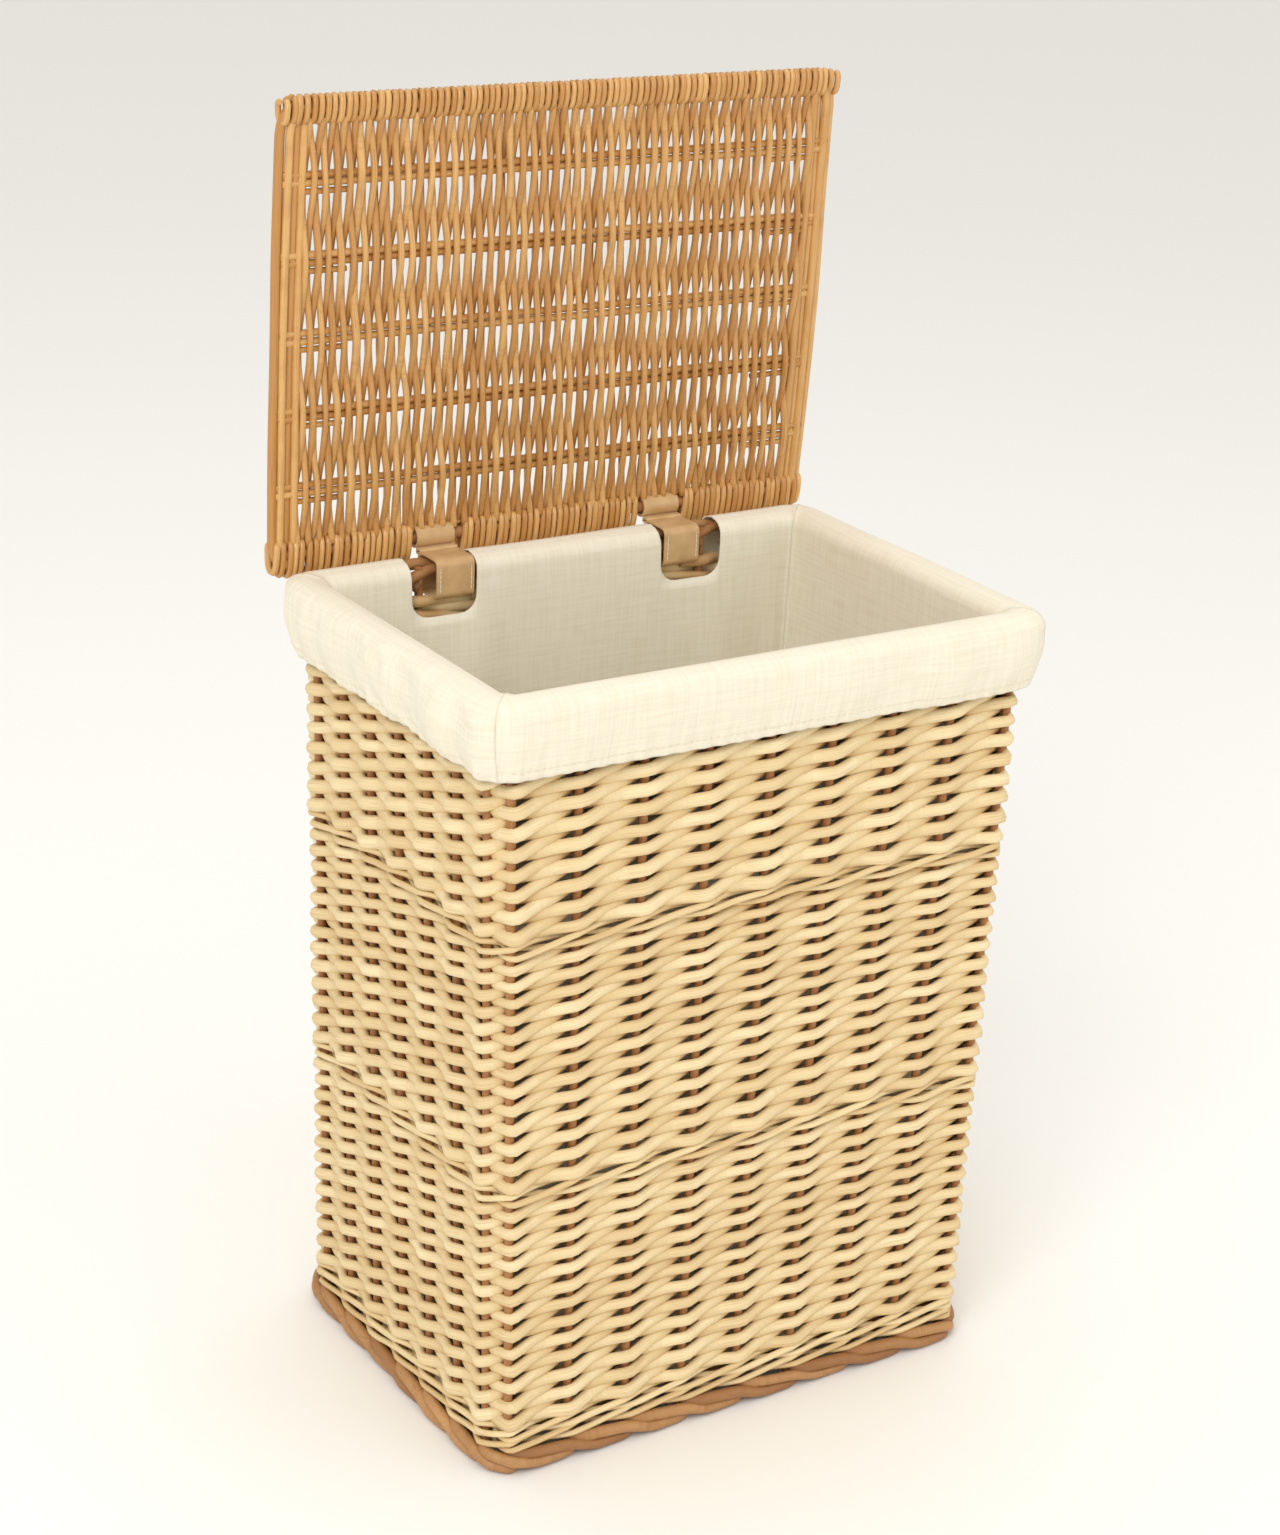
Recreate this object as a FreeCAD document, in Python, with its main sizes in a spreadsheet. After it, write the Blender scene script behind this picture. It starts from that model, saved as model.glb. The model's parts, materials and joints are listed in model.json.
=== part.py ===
"""Woven willow laundry basket with a hinged woven lid and a cloth liner, in millimetres.

The origin is the centre of the footprint on the floor. +Z is up, the wide front face looks
along -Y and the lid hinges along the back rim, at +Y. The lid stands open, as it is used.
The body is a stack of woven rings round 32 upright stakes: foot border, upsett, three bands
of randing with a wale between each two, and a rolled border that the liner folds over.
"""

import FreeCAD, Part
import os

SIZES = (
    # body: outside sizes of the woven wall, which widens towards the rim
    ("base_width", 428.0, "outside width of the wall at the floor"),
    ("base_depth", 310.0, "outside depth of the wall at the floor"),
    ("top_width", 454.0, "outside width of the wall under the border"),
    ("top_depth", 308.0, "outside depth of the wall under the border"),
    ("corner_radius", 16.0, "radius of the upright corners of wall and border"),
    ("wall", 19.0, "wall thickness: a stake with a rod on each side"),
    ("foot_height", 18.0, "height of the foot border"),
    ("foot_proud", 4.0, "how far the foot border stands out of the wall"),
    ("foot_thickness", 27.0, "thickness of the foot border"),
    ("foot_corner", 26.0, "radius of the foot border's corners"),
    ("upsett_height", 18.0, "height of the upsett's thin rods"),
    ("lower_weave_height", 186.0, "height of the lower band of randing"),
    ("middle_weave_height", 182.0, "height of the middle band of randing"),
    ("upper_weave_height", 148.0, "height of the upper band of randing"),
    ("wale_height", 10.0, "height of each wale"),
    ("wale_proud", 1.5, "how far a wale stands out of the wall"),
    ("border_height", 25.5, "height of the rolled top border"),
    ("border_proud", 7.0, "how far the border stands out of the wall"),
    ("border_round", 9.0, "rounding of the border's top edges"),
    # stakes and base
    ("stake_diameter", 6.5, "diameter of an upright stake"),
    ("stake_cover", 5.0, "what is left of foot and border past a stake's ends"),
    ("wide_corner_gap", 8.0, "from the stakes' corner to the first stake on a wide face"),
    ("narrow_corner_gap", 18.0, "from the stakes' corner to the first stake on a narrow face"),
    ("rod_fit", 0.15, "clearance round a rod in the weave that holds it"),
    ("base_thickness", 14.0, "thickness of the woven base"),
    ("base_stick_diameter", 9.0, "diameter of the sticks in the base"),
    # liner
    ("cloth", 1.0, "thickness of the liner's cloth"),
    ("cloth_gap", 0.5, "gap between the cloth and what it lies on"),
    ("cuff_drop", 28.5, "how far the cuff hangs below the border"),
    ("notch_width", 54.0, "width of the liner's notch at a strap"),
    ("notch_depth", 42.0, "depth of the notch from the rim"),
    # hinge straps
    ("strap_place", 100.0, "from the middle of the back rim to a strap's centre"),
    ("strap_width", 32.0, "width of a strap"),
    ("strap_thickness", 2.5, "thickness of the leather"),
    ("strap_border_gap", 1.0, "slack of the strap round the top border"),
    ("strap_top_gap", 0.5, "slack of the strap over the top border"),
    ("strap_loop_round", 1.5, "rounding inside the strap's loop round the border"),
    ("strap_bar_gap", 1.5, "slack of the strap round the lid's hinge bar"),
    ("strap_side_gap", 2.0, "room at each side of a strap in the lid's edge"),
    ("strap_slot_height", 7.0, "height of the gap under the border for a strap"),
    # lid
    ("lid_width", 474.0, "outside width of the lid"),
    ("lid_depth", 355.0, "depth of the lid from edge to edge"),
    ("lid_thickness", 13.0, "a cross rod with a weaver on each side"),
    ("lid_wrap_depth", 22.0, "depth of the wrapped edge along the front"),
    ("lid_hinge_depth", 30.0, "depth of the wrapped edge along the hinge side"),
    ("lid_wrap_round", 5.0, "rounding of the wrapped edges"),
    ("lid_corner_cut", 14.0, "chamfer across the lid's corners"),
    ("lid_bar_diameter", 9.0, "diameter of the bars inside the wrapped edges"),
    ("lid_bar_cover", 12.0, "wrap left past a bar's end"),
    ("side_rod_diameter", 7.0, "diameter of the rods along the lid's sides"),
    ("side_rod_pitch", 7.3, "spacing of the side rods"),
    ("cross_rod_diameter", 5.0, "diameter of the rods across the lid"),
    ("cross_rod_pitch", 6.0, "spacing of the two rods of a pair"),
    ("first_cross_pair", 48.5, "from the hinge to the first pair of cross rods"),
    ("cross_pair_pitch", 57.0, "spacing of the pairs"),
    ("short_rod_length", 36.0, "length of the short rod beside each end of a pair"),
    ("open_angle", 87.0, "angle of the open lid from closed, just short of upright"),
    ("hinge_behind", 8.5, "from the liner's back face to the hinge axis"),
    ("lid_gap", 2.5, "from the liner's top to the closed lid's underside"),
)

FACE_STAKES = 9  # on each wide face
SIDE_STAKES = 7  # on each narrow face
BASE_STICKS = 7
SIDE_RODS = 3
CROSS_PAIRS = 5
UPRIGHT = "rotation(vector(1; 0; 0); 90)"  # turns a wedge, which tapers along Y, to taper along Z
ALONG_X = "rotation(vector(0; 1; 0); 90)"  # turns a cylinder, which rises along Z, to lie along X
UNTURNED = "rotation(0; 0; 0)"

doc = FreeCAD.newDocument("LaundryBasket")


def make_sheet():
    """Makes the spreadsheet of driving dimensions, one named cell for each."""
    sheet = doc.addObject("Spreadsheet::Sheet", "Sizes")
    for row, (alias, value, meaning) in enumerate(SIZES, start=1):
        sheet.set(f"A{row}", alias)
        sheet.set(f"B{row}", str(value))
        sheet.set(f"C{row}", meaning)
        sheet.setAlias(f"B{row}", alias)
    doc.recompute()


def bind(feature, **expressions):
    """Binds properties of a feature to expressions."""
    for name, expression in expressions.items():
        feature.setExpression(name, expression)
    return feature


# Heights of the stacked rings above the floor, as expressions.
FOOT_TOP = "Sizes.foot_height"
UPSETT_TOP = f"({FOOT_TOP} + Sizes.upsett_height)"
LOWER_TOP = f"({UPSETT_TOP} + Sizes.lower_weave_height)"
LOWER_WALE_TOP = f"({LOWER_TOP} + Sizes.wale_height)"
MIDDLE_TOP = f"({LOWER_WALE_TOP} + Sizes.middle_weave_height)"
UPPER_WALE_TOP = f"({MIDDLE_TOP} + Sizes.wale_height)"
BORDER_LOW = f"({UPPER_WALE_TOP} + Sizes.upper_weave_height)"
BORDER_TOP = f"({BORDER_LOW} + Sizes.border_height)"
BASE_TOP = f"({FOOT_TOP} + Sizes.base_thickness)"
CLOTH_OUT = "(Sizes.cloth_gap + Sizes.cloth)"
LINER_TOP = f"({BORDER_TOP} + {CLOTH_OUT})"
HEM = f"({BORDER_LOW} - Sizes.cuff_drop)"

# The hinge axis runs along X behind the rim; the closed lid lies above the liner.
BORDER_BACK = "(Sizes.top_depth / 2 + Sizes.border_proud)"
BORDER_WALL = "(Sizes.wall + Sizes.border_proud)"  # the border is flush with the wall inside
HINGE_BACK = f"({BORDER_BACK} + {CLOTH_OUT} + Sizes.hinge_behind)"
HINGE_HIGH = f"({LINER_TOP} + Sizes.lid_gap + Sizes.lid_thickness / 2)"
LID_FRAME = (
    f"placement(vector(0; {HINGE_BACK}; {HINGE_HIGH}); "
    "rotation(vector(1; 0; 0); -Sizes.open_angle))"
)
WRAP_IN = "(Sizes.lid_wrap_depth / 2)"  # from the hinge axis to the woven panel
LID_TAIL = f"(Sizes.lid_hinge_depth - {WRAP_IN})"  # what reaches past the hinge axis
LID_FRONT = f"(Sizes.lid_depth - {LID_TAIL})"  # from the hinge axis to the front edge
PANEL_FRONT = f"({LID_FRONT} - Sizes.lid_wrap_depth)"
PANEL_HALF = f"(Sizes.lid_width / 2 - {SIDE_RODS} * Sizes.side_rod_pitch)"

STRAP_ROOM = "(Sizes.strap_width + 2 * Sizes.strap_side_gap)"
BESIDE_STRAP = f"(Sizes.strap_place + {STRAP_ROOM} / 2 + Sizes.stake_diameter)"
THROUGH = "(4 * Sizes.wall)"  # a cutter this long passes right through the wall and border


def half_width(height):
    """Half the wall's outside width at a height."""
    share = f"{height} / {BORDER_LOW}"
    return f"((Sizes.base_width + (Sizes.top_width - Sizes.base_width) * {share}) / 2)"


def half_depth(height):
    """Half the wall's outside depth at a height."""
    share = f"{height} / {BORDER_LOW}"
    return f"((Sizes.base_depth + (Sizes.top_depth - Sizes.base_depth) * {share}) / 2)"


def span(height, out):
    """Half width and half depth at a height, moved outwards by an amount."""
    return f"({half_width(height)} + {out})", f"({half_depth(height)} + {out})"


def wedge(body, kind, low, high, at_low, at_high):
    """Adds or cuts a block that tapers from one rectangle to another; it lies along Y."""
    feature = body.newObject(f"PartDesign::{kind}Wedge", kind)
    bind(feature, Ymin=low, Ymax=high)
    bind(feature, Xmin=f"-{at_low[0]}", Xmax=at_low[0], Zmin=f"-{at_low[1]}", Zmax=at_low[1])
    bind(feature, X2min=f"-{at_high[0]}", X2max=at_high[0])
    bind(feature, Z2min=f"-{at_high[1]}", Z2max=at_high[1])
    return feature


def round_edges(body, feature, radius, chosen):
    """Rounds the edges of a feature that the test named chosen picks."""
    doc.recompute()
    edges = [f"Edge{i}" for i, edge in enumerate(feature.Shape.Edges, 1) if chosen(edge)]
    fillet = body.newObject("PartDesign::Fillet", "Rounded")
    fillet.Base = (feature, edges)
    return bind(fillet, Radius=radius)


def is_upright(edge):
    """Whether an edge of a wedge runs from its low end to its high end."""
    return abs(edge.tangentAt(edge.FirstParameter).y) > 0.7


def lies_at(edge, height):
    """Whether an edge of a wedge lies in the plane at a height."""
    return all(abs(vertex.Y - height) < 1e-4 for vertex in edge.Vertexes)


def block(name, low, high, at_low, at_high, corner, top_round=None):
    """A body with a rounded rectangular section that tapers from low to high."""
    body = doc.addObject("PartDesign::Body", name)
    tip = wedge(body, "Additive", low, high, at_low, at_high)
    tip = round_edges(body, tip, corner, is_upright)
    if top_round:
        doc.recompute()
        top = max(vertex.Y for vertex in tip.Shape.Vertexes)
        round_edges(body, tip, top_round, lambda edge: lies_at(edge, top))
    bind(body, Placement=f"placement(vector(0; 0; 0); {UPRIGHT})")
    return body


def passed_by(name, base, tool):
    """Cuts one object out of another and gives the result its name."""
    cut = doc.addObject("Part::Cut", name)
    cut.Base = base
    cut.Tool = tool
    cut.Label = name
    return cut


def fused(name, members):
    """Joins several objects into one."""
    union = doc.addObject("Part::MultiFuse", name)
    union.Shapes = members
    return union


def shared(name, first, second):
    """What two objects have in common, as a node."""
    common = doc.addObject("Part::Common", name)
    common.Base = first
    common.Tool = second
    common.Label = name
    return common


def group(name, members):
    """Several separate solids in one node."""
    compound = doc.addObject("Part::Compound", name)
    compound.Links = members
    compound.Label = name
    return compound


def ring(name, low, high, out, thickness, corner, top_round=None):
    """A ring of weave that stands out of the wall by an amount, still without its passages."""
    body = block(f"{name}_blank", low, high, span(low, out), span(high, out), corner, top_round)
    inner = f"({out} - {thickness})"
    wedge(body, "Subtractive", low, high, span(low, inner), span(high, inner))
    return body


def upright_rod(name, radius, foot, head, low, high):
    """A straight rod from one point to another; the sides' taper leans it a little."""
    rise = f"({high} - {low})"
    east = f"({head[0]} - {foot[0]})"
    north = f"({head[1]} - {foot[1]})"
    length = f"sqrt({east} ^ 2 + {north} ^ 2 + {rise} ^ 2)"
    rod = doc.addObject("Part::Cylinder", name)
    bind(rod, Radius=radius, Height=length)
    lean = f"rotation(0; atan({east} / {rise}); -asin({north} / {length}))"
    return bind(rod, Placement=f"placement(vector({foot[0]}; {foot[1]}; {low}); {lean})")


def level_rod(name, radius, length, start_x, back, up, frame=None):
    """A rod along X; in the lid's frame, back is the place along the closed lid's depth."""
    rod = doc.addObject("Part::Cylinder", name)
    bind(rod, Radius=radius, Height=length)
    here = f"placement(vector({start_x}; {back}; {up}); {ALONG_X})"
    return bind(rod, Placement=f"{frame} * {here}" if frame else here)


def back_stake_place(step, last):
    """How far from the middle a back stake stands; one stands just outside each strap."""
    last_step = FACE_STAKES // 2
    strap_step = last_step // 2
    if abs(step) <= strap_step:
        return f"({step / strap_step} * {BESIDE_STRAP})"
    share = (abs(step) - strap_step) / (last_step - strap_step)
    place = f"({BESIDE_STRAP} + {share} * ({last} - {BESIDE_STRAP}))"
    return f"(-{place})" if step < 0 else place


def make_stakes():
    """The 32 stakes in four groups, one for each face, and the passages round them."""
    low = "Sizes.stake_cover"
    high = f"({BORDER_TOP} - Sizes.stake_cover)"
    inset = "(-Sizes.wall / 2)"
    places = {"front": [], "back": [], "left": [], "right": []}
    half = FACE_STAKES // 2
    ends = [(f"({x} - Sizes.wide_corner_gap)", y) for x, y in (span(low, inset), span(high, inset))]
    for step in range(-half, half + 1):
        places["front"].append([(f"({step / half} * {x})", f"(-{y})") for x, y in ends])
        places["back"].append([(back_stake_place(step, x), y) for x, y in ends])
    half = SIDE_STAKES // 2
    for step in range(-half, half + 1):
        for face, sign in (("left", -1), ("right", 1)):
            ends = [
                (f"({sign} * {x})", f"({step / half} * ({y} - Sizes.narrow_corner_gap))")
                for x, y in (span(low, inset), span(high, inset))
            ]
            places[face].append(ends)
    groups, passages = [], []
    for face, stakes in places.items():
        rods = []
        for number, (foot, head) in enumerate(stakes):
            name = f"stake_{face}_{number}"
            rods.append(upright_rod(name, "Sizes.stake_diameter / 2", foot, head, low, high))
            loose = "Sizes.stake_diameter / 2 + Sizes.rod_fit"
            passages.append(upright_rod(f"{name}_way", loose, foot, head, low, high))
        groups.append(group(f"stakes_{face}", rods))
    return groups, group("stake_passages", passages)


def make_strap_ways():
    """The gaps through the back wall, right under the border, that the straps pass."""
    gaps = []
    for side, sign in (("left", -1), ("right", 1)):
        gap = doc.addObject("Part::Box", f"strap_way_{side}")
        bind(gap, Length=STRAP_ROOM, Width=THROUGH, Height="Sizes.strap_slot_height")
        x = f"{sign} * Sizes.strap_place - {STRAP_ROOM} / 2"
        y = f"{half_depth(BORDER_LOW)} - {THROUGH} / 2"
        z = f"{BORDER_LOW} - Sizes.strap_slot_height"
        gaps.append(bind(gap, Placement=f"placement(vector({x}; {y}; {z}); {UNTURNED})"))
    return gaps


def make_body(passages):
    """The foot border, upsett, randing, wales and top border, each a ring round the stakes."""
    wall = "Sizes.wall"
    proud = "Sizes.wale_proud"
    corner = "Sizes.corner_radius"
    foot_wall = "Sizes.foot_thickness"
    blanks = (
        ring("foot_border", "0", FOOT_TOP, "Sizes.foot_proud", foot_wall, "Sizes.foot_corner"),
        ring("upsett", FOOT_TOP, UPSETT_TOP, "0", wall, corner),
        ring("lower_weave", UPSETT_TOP, LOWER_TOP, "0", wall, corner),
        ring("lower_wale", LOWER_TOP, LOWER_WALE_TOP, proud, f"({wall} + {proud})", corner),
        ring("middle_weave", LOWER_WALE_TOP, MIDDLE_TOP, "0", wall, corner),
        ring("upper_wale", MIDDLE_TOP, UPPER_WALE_TOP, proud, f"({wall} + {proud})", corner),
        ring("upper_weave", UPPER_WALE_TOP, BORDER_LOW, "0", wall, corner),
        ring(
            "top_border", BORDER_LOW, BORDER_TOP, "Sizes.border_proud", BORDER_WALL, corner,
            "Sizes.border_round",
        ),
    )
    cutters = {"upper_weave": group("upper_weave_ways", [passages, *make_strap_ways()])}
    rings = []
    for blank in blanks:
        name = blank.Name.removesuffix("_blank")
        rings.append(passed_by(name, blank, cutters.get(name, passages)))
    return rings


def make_base():
    """The woven base and the sticks through it, which run from side to side."""
    inset = "(-Sizes.wall)"
    low, high = span(FOOT_TOP, inset), span(BASE_TOP, inset)
    panel = doc.addObject("PartDesign::Body", "base_panel")
    wedge(panel, "Additive", FOOT_TOP, BASE_TOP, low, high)
    bind(panel, Placement=f"placement(vector(0; 0; 0); {UPRIGHT})")
    centre = f"({FOOT_TOP} + Sizes.base_thickness / 2)"
    reach = f"({low[0]} - Sizes.rod_fit)"
    sticks, ways = [], []
    for step in range(BASE_STICKS):
        back = f"({low[1]} * {2 * (step + 0.5) / BASE_STICKS - 1})"
        radius = "Sizes.base_stick_diameter / 2"
        name = f"base_stick_{step}"
        sticks.append(level_rod(name, radius, f"2 * {reach}", f"-{reach}", back, centre))
        loose = f"{radius} + Sizes.rod_fit"
        longer = f"({high[0]} + Sizes.wall)"
        ways.append(level_rod(f"{name}_way", loose, f"2 * {longer}", f"-{longer}", back, centre))
    weave = passed_by("base_weave", panel, group("base_stick_ways", ways))
    return [weave, group("base_sticks", sticks)]


def make_liner():
    """The liner's five sewn panels: a bag inside, folded over the border into a cuff."""
    out, under = CLOTH_OUT, "Sizes.cloth_gap"
    corner = "Sizes.corner_radius"
    rim_out = f"(Sizes.border_proud + {out})"
    rim_under = f"(Sizes.border_proud + {under})"
    inner_top = f"({LINER_TOP} - Sizes.cloth)"
    parts = {
        "flare_out": (HEM, BORDER_LOW, span(HEM, out), span(BORDER_LOW, rim_out), None),
        "rim_out": (
            BORDER_LOW, LINER_TOP, span(BORDER_LOW, rim_out), span(LINER_TOP, rim_out),
            f"Sizes.border_round + {out}",
        ),
        "flare_under": (HEM, BORDER_LOW, span(HEM, under), span(BORDER_LOW, rim_under), None),
        "rim_under": (
            BORDER_LOW, inner_top, span(BORDER_LOW, rim_under), span(inner_top, rim_under),
            f"Sizes.border_round + {under}",
        ),
    }
    made = {}
    for name, (low, high, at_low, at_high, top_round) in parts.items():
        made[name] = block(f"liner_{name}", low, high, at_low, at_high, corner, top_round)
    bag_side = f"(-Sizes.wall - {under})"
    bag_inside = f"(-Sizes.wall - {out})"
    floor = f"({BASE_TOP} + {under})"
    bags = {
        "bag_out": (floor, LINER_TOP, bag_side),
        "bag_in": (f"({floor} + Sizes.cloth)", f"({LINER_TOP} + Sizes.wall)", bag_inside),
    }
    for name, (low, high, move) in bags.items():
        made[name] = doc.addObject("PartDesign::Body", f"liner_{name}")
        wedge(made[name], "Additive", low, high, span(low, move), span(high, move))
        bind(made[name], Placement=f"placement(vector(0; 0; 0); {UPRIGHT})")
    shell = fused("liner_shell", [made["flare_out"], made["rim_out"], made["bag_out"]])
    covered = fused("liner_covered", [made["flare_under"], made["rim_under"]])
    space = passed_by("liner_space", covered, made["bag_out"])
    emptied = fused("liner_emptied", [space, made["bag_in"], *make_notches()])
    cloth = passed_by("liner_cloth", shell, emptied)
    return [shared(f"liner_{name}", cloth, part) for name, part in liner_regions(floor).items()]


def make_notches():
    """Two notches in the liner's back, each reaching from its strap towards the corner."""
    notches = []
    for side, sign in (("left", -1), ("right", 1)):
        notch = doc.addObject("Part::Box", f"notch_{side}")
        bind(notch, Length="Sizes.notch_width", Width=THROUGH)
        bind(notch, Height="Sizes.notch_depth + Sizes.wall")
        near = f"(Sizes.strap_place - {STRAP_ROOM} / 2)"
        x = near if sign > 0 else f"(-{near} - Sizes.notch_width)"
        y = f"{BORDER_BACK} - {THROUGH} / 2"
        z = f"{LINER_TOP} - Sizes.notch_depth"
        notches.append(bind(notch, Placement=f"placement(vector({x}; {y}; {z}); {UNTURNED})"))
    return notches


def liner_regions(floor):
    """The space that each liner panel fills; the seams run from the rim's corners inwards."""
    seam = f"({floor} + Sizes.cloth)"
    top = f"({LINER_TOP} + Sizes.wall)"
    far_x = "(Sizes.top_width / 2 + 2 * Sizes.wall)"
    far_y = "(Sizes.top_depth / 2 + 2 * Sizes.wall)"
    inwards = f"({THROUGH} + (Sizes.top_width - Sizes.base_width) / 2)"
    regions = {}
    for name, along, across, turn in (
        ("front", far_x, far_y, 0),
        ("right", far_y, far_x, 90),
        ("back", far_x, far_y, 180),
        ("left", far_y, far_x, 270),
    ):
        region = doc.addObject("Part::Wedge", f"region_{name}")
        bind(region, Ymin=f"-{across}", Ymax=f"{inwards} - {across}", Zmin=seam, Zmax=top)
        bind(region, Z2min=seam, Z2max=top, Xmin=f"-{along}", Xmax=along)
        bind(region, X2min=f"{inwards} - {along}", X2max=f"{along} - {inwards}")
        bind(region, Placement=f"placement(vector(0; 0; 0); rotation(vector(0; 0; 1); {turn}))")
        regions[name] = region
    bottom = doc.addObject("Part::Box", "region_bottom")
    bind(bottom, Length=f"2 * {far_x}", Width=f"2 * {far_y}", Height=seam)
    bind(bottom, Placement=f"placement(vector(-{far_x}; -{far_y}; 0); {UNTURNED})")
    regions["bottom"] = bottom
    return regions


def box(body, kind, length, width, height, x, y, z):
    """Adds or cuts a box whose least corner is at x, y, z."""
    feature = body.newObject(f"PartDesign::{kind}Box", kind)
    bind(feature, Length=length, Width=width, Height=height)
    return bind(feature, Placement=f"placement(vector({x}; {y}; {z}); {UNTURNED})")


def tube(body, kind, radius, length, x, y, z):
    """Adds or cuts a cylinder along X that starts at x, y, z."""
    feature = body.newObject(f"PartDesign::{kind}Cylinder", kind)
    bind(feature, Radius=radius, Height=length)
    return bind(feature, Placement=f"placement(vector({x}; {y}; {z}); {ALONG_X})")


def is_along_x(edge):
    """Whether an edge is a straight one along X."""
    return abs(edge.tangentAt(edge.FirstParameter).x) > 0.99


def make_strap(name, sign):
    """A leather strap sewn in two loops: one round the top border, one round the hinge bar."""
    thick = "Sizes.strap_thickness"
    bar = "(Sizes.lid_bar_diameter / 2 + Sizes.strap_bar_gap)"
    outside, x = strap_loops(f"{name}_outside", sign, f"({bar} + {thick})", thick)
    inside, _ = strap_loops(f"{name}_inside", sign, bar, "0")
    neck_low = f"({BORDER_TOP} - 2 * {thick})"
    neck_front = f"({BORDER_BACK} - 2 * {thick})"
    box(
        outside, "Additive", "Sizes.strap_width", f"{HINGE_BACK} - {neck_front}",
        f"{BORDER_TOP} + {thick} - {neck_low}", x, neck_front, neck_low,
    )
    return passed_by(name, outside, inside)


def strap_loops(name, sign, bar, out):
    """The strap's two loops as solid shapes, moved out from what they go round."""
    body = doc.addObject("PartDesign::Body", name)
    gap = f"(Sizes.strap_border_gap + {out})"
    top_gap = f"(Sizes.strap_top_gap + {out})"
    x = f"({sign} * Sizes.strap_place - Sizes.strap_width / 2)"
    loop = box(
        body, "Additive", "Sizes.strap_width", f"{BORDER_WALL} + 2 * {gap}",
        f"Sizes.border_height + {gap} + {top_gap}",
        x, f"({BORDER_BACK} - {BORDER_WALL} - {gap})", f"({BORDER_LOW} - {gap})",
    )
    round_edges(body, loop, f"Sizes.strap_loop_round + {out}", is_along_x)
    tube(body, "Additive", bar, "Sizes.strap_width", x, HINGE_BACK, HINGE_HIGH)
    return body, x


def make_lid_edge(name, low, depth, free_side):
    """A wrapped edge of the lid: a rounded strip with its free side's two corners cut off."""
    body = doc.addObject("PartDesign::Body", name)
    half = "Sizes.lid_width / 2"
    tall = "Sizes.lid_thickness"
    edge = box(body, "Additive", "Sizes.lid_width", depth, tall, f"-{half}", low, f"-{tall} / 2")
    round_edges(body, edge, "Sizes.lid_wrap_round", is_along_x)
    for sign in (-1, 1):
        corner = body.newObject("PartDesign::SubtractivePrism", "Corner")
        corner.Polygon = 4
        bind(corner, Circumradius="Sizes.lid_corner_cut", Height=f"2 * {tall}")
        here = f"vector({sign} * {half}; {free_side}; -{tall})"
        bind(corner, Placement=f"placement({here}; {UNTURNED})")
    bind(body, Placement=LID_FRAME)
    return body


def make_lid():
    """The lid's bars, wrapped edges, side rods, paired cross rods, short rods and weave."""
    bar = "Sizes.lid_bar_diameter / 2"
    bar_half = "(Sizes.lid_width / 2 - Sizes.lid_bar_cover)"
    nodes = []
    for side, low, depth, free_side, windows in (
        ("back", f"-{WRAP_IN}", "Sizes.lid_hinge_depth", LID_TAIL, make_windows()),
        ("front", f"-{LID_FRONT}", "Sizes.lid_wrap_depth", f"-{LID_FRONT}", []),
    ):
        place = (f"2 * {bar_half}", f"-{bar_half}", f"({low} + {WRAP_IN})", "0", LID_FRAME)
        rod = level_rod(f"lid_{side}_bar", bar, *place)
        way = level_rod(f"lid_{side}_bar_way", f"{bar} + Sizes.rod_fit", *place)
        blank = make_lid_edge(f"lid_{side}_blank", low, depth, free_side)
        tool = group(f"lid_{side}_wrap_ways", [way, *windows])
        nodes += [passed_by(f"lid_{side}_wrap", blank, tool), rod]
    return nodes + make_side_rods() + make_panel()


def make_windows():
    """Where the hinge side's wraps stop, so that each strap lies round the bare bar."""
    windows = []
    for side, sign in (("left", -1), ("right", 1)):
        window = doc.addObject("Part::Box", f"strap_window_{side}")
        bind(window, Length=STRAP_ROOM, Width="2 * Sizes.lid_wrap_depth")
        bind(window, Height="2 * Sizes.lid_thickness")
        x = f"{sign} * Sizes.strap_place - {STRAP_ROOM} / 2"
        corner = f"vector({x}; -Sizes.lid_wrap_depth; -Sizes.lid_thickness)"
        bind(window, Placement=f"{LID_FRAME} * placement({corner}; {UNTURNED})")
        windows.append(window)
    return windows


def make_side_rods():
    """Three long rods along each side of the lid, between the wrapped edges."""
    groups = []
    length = f"{PANEL_FRONT} - {WRAP_IN}"
    for side, sign in (("left", -1), ("right", 1)):
        rods = []
        for number in range(SIDE_RODS):
            out = f"{sign} * ({PANEL_HALF} + Sizes.side_rod_pitch * {number + 0.5})"
            rod = doc.addObject("Part::Cylinder", f"side_rod_{side}_{number}")
            bind(rod, Radius="Sizes.side_rod_diameter / 2", Height=length)
            here = f"placement(vector({out}; -{WRAP_IN}; 0); rotation(vector(1; 0; 0); 90))"
            bind(rod, Placement=f"{LID_FRAME} * {here}")
            rods.append(rod)
        groups.append(group(f"lid_side_rods_{side}", rods))
    return groups


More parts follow.
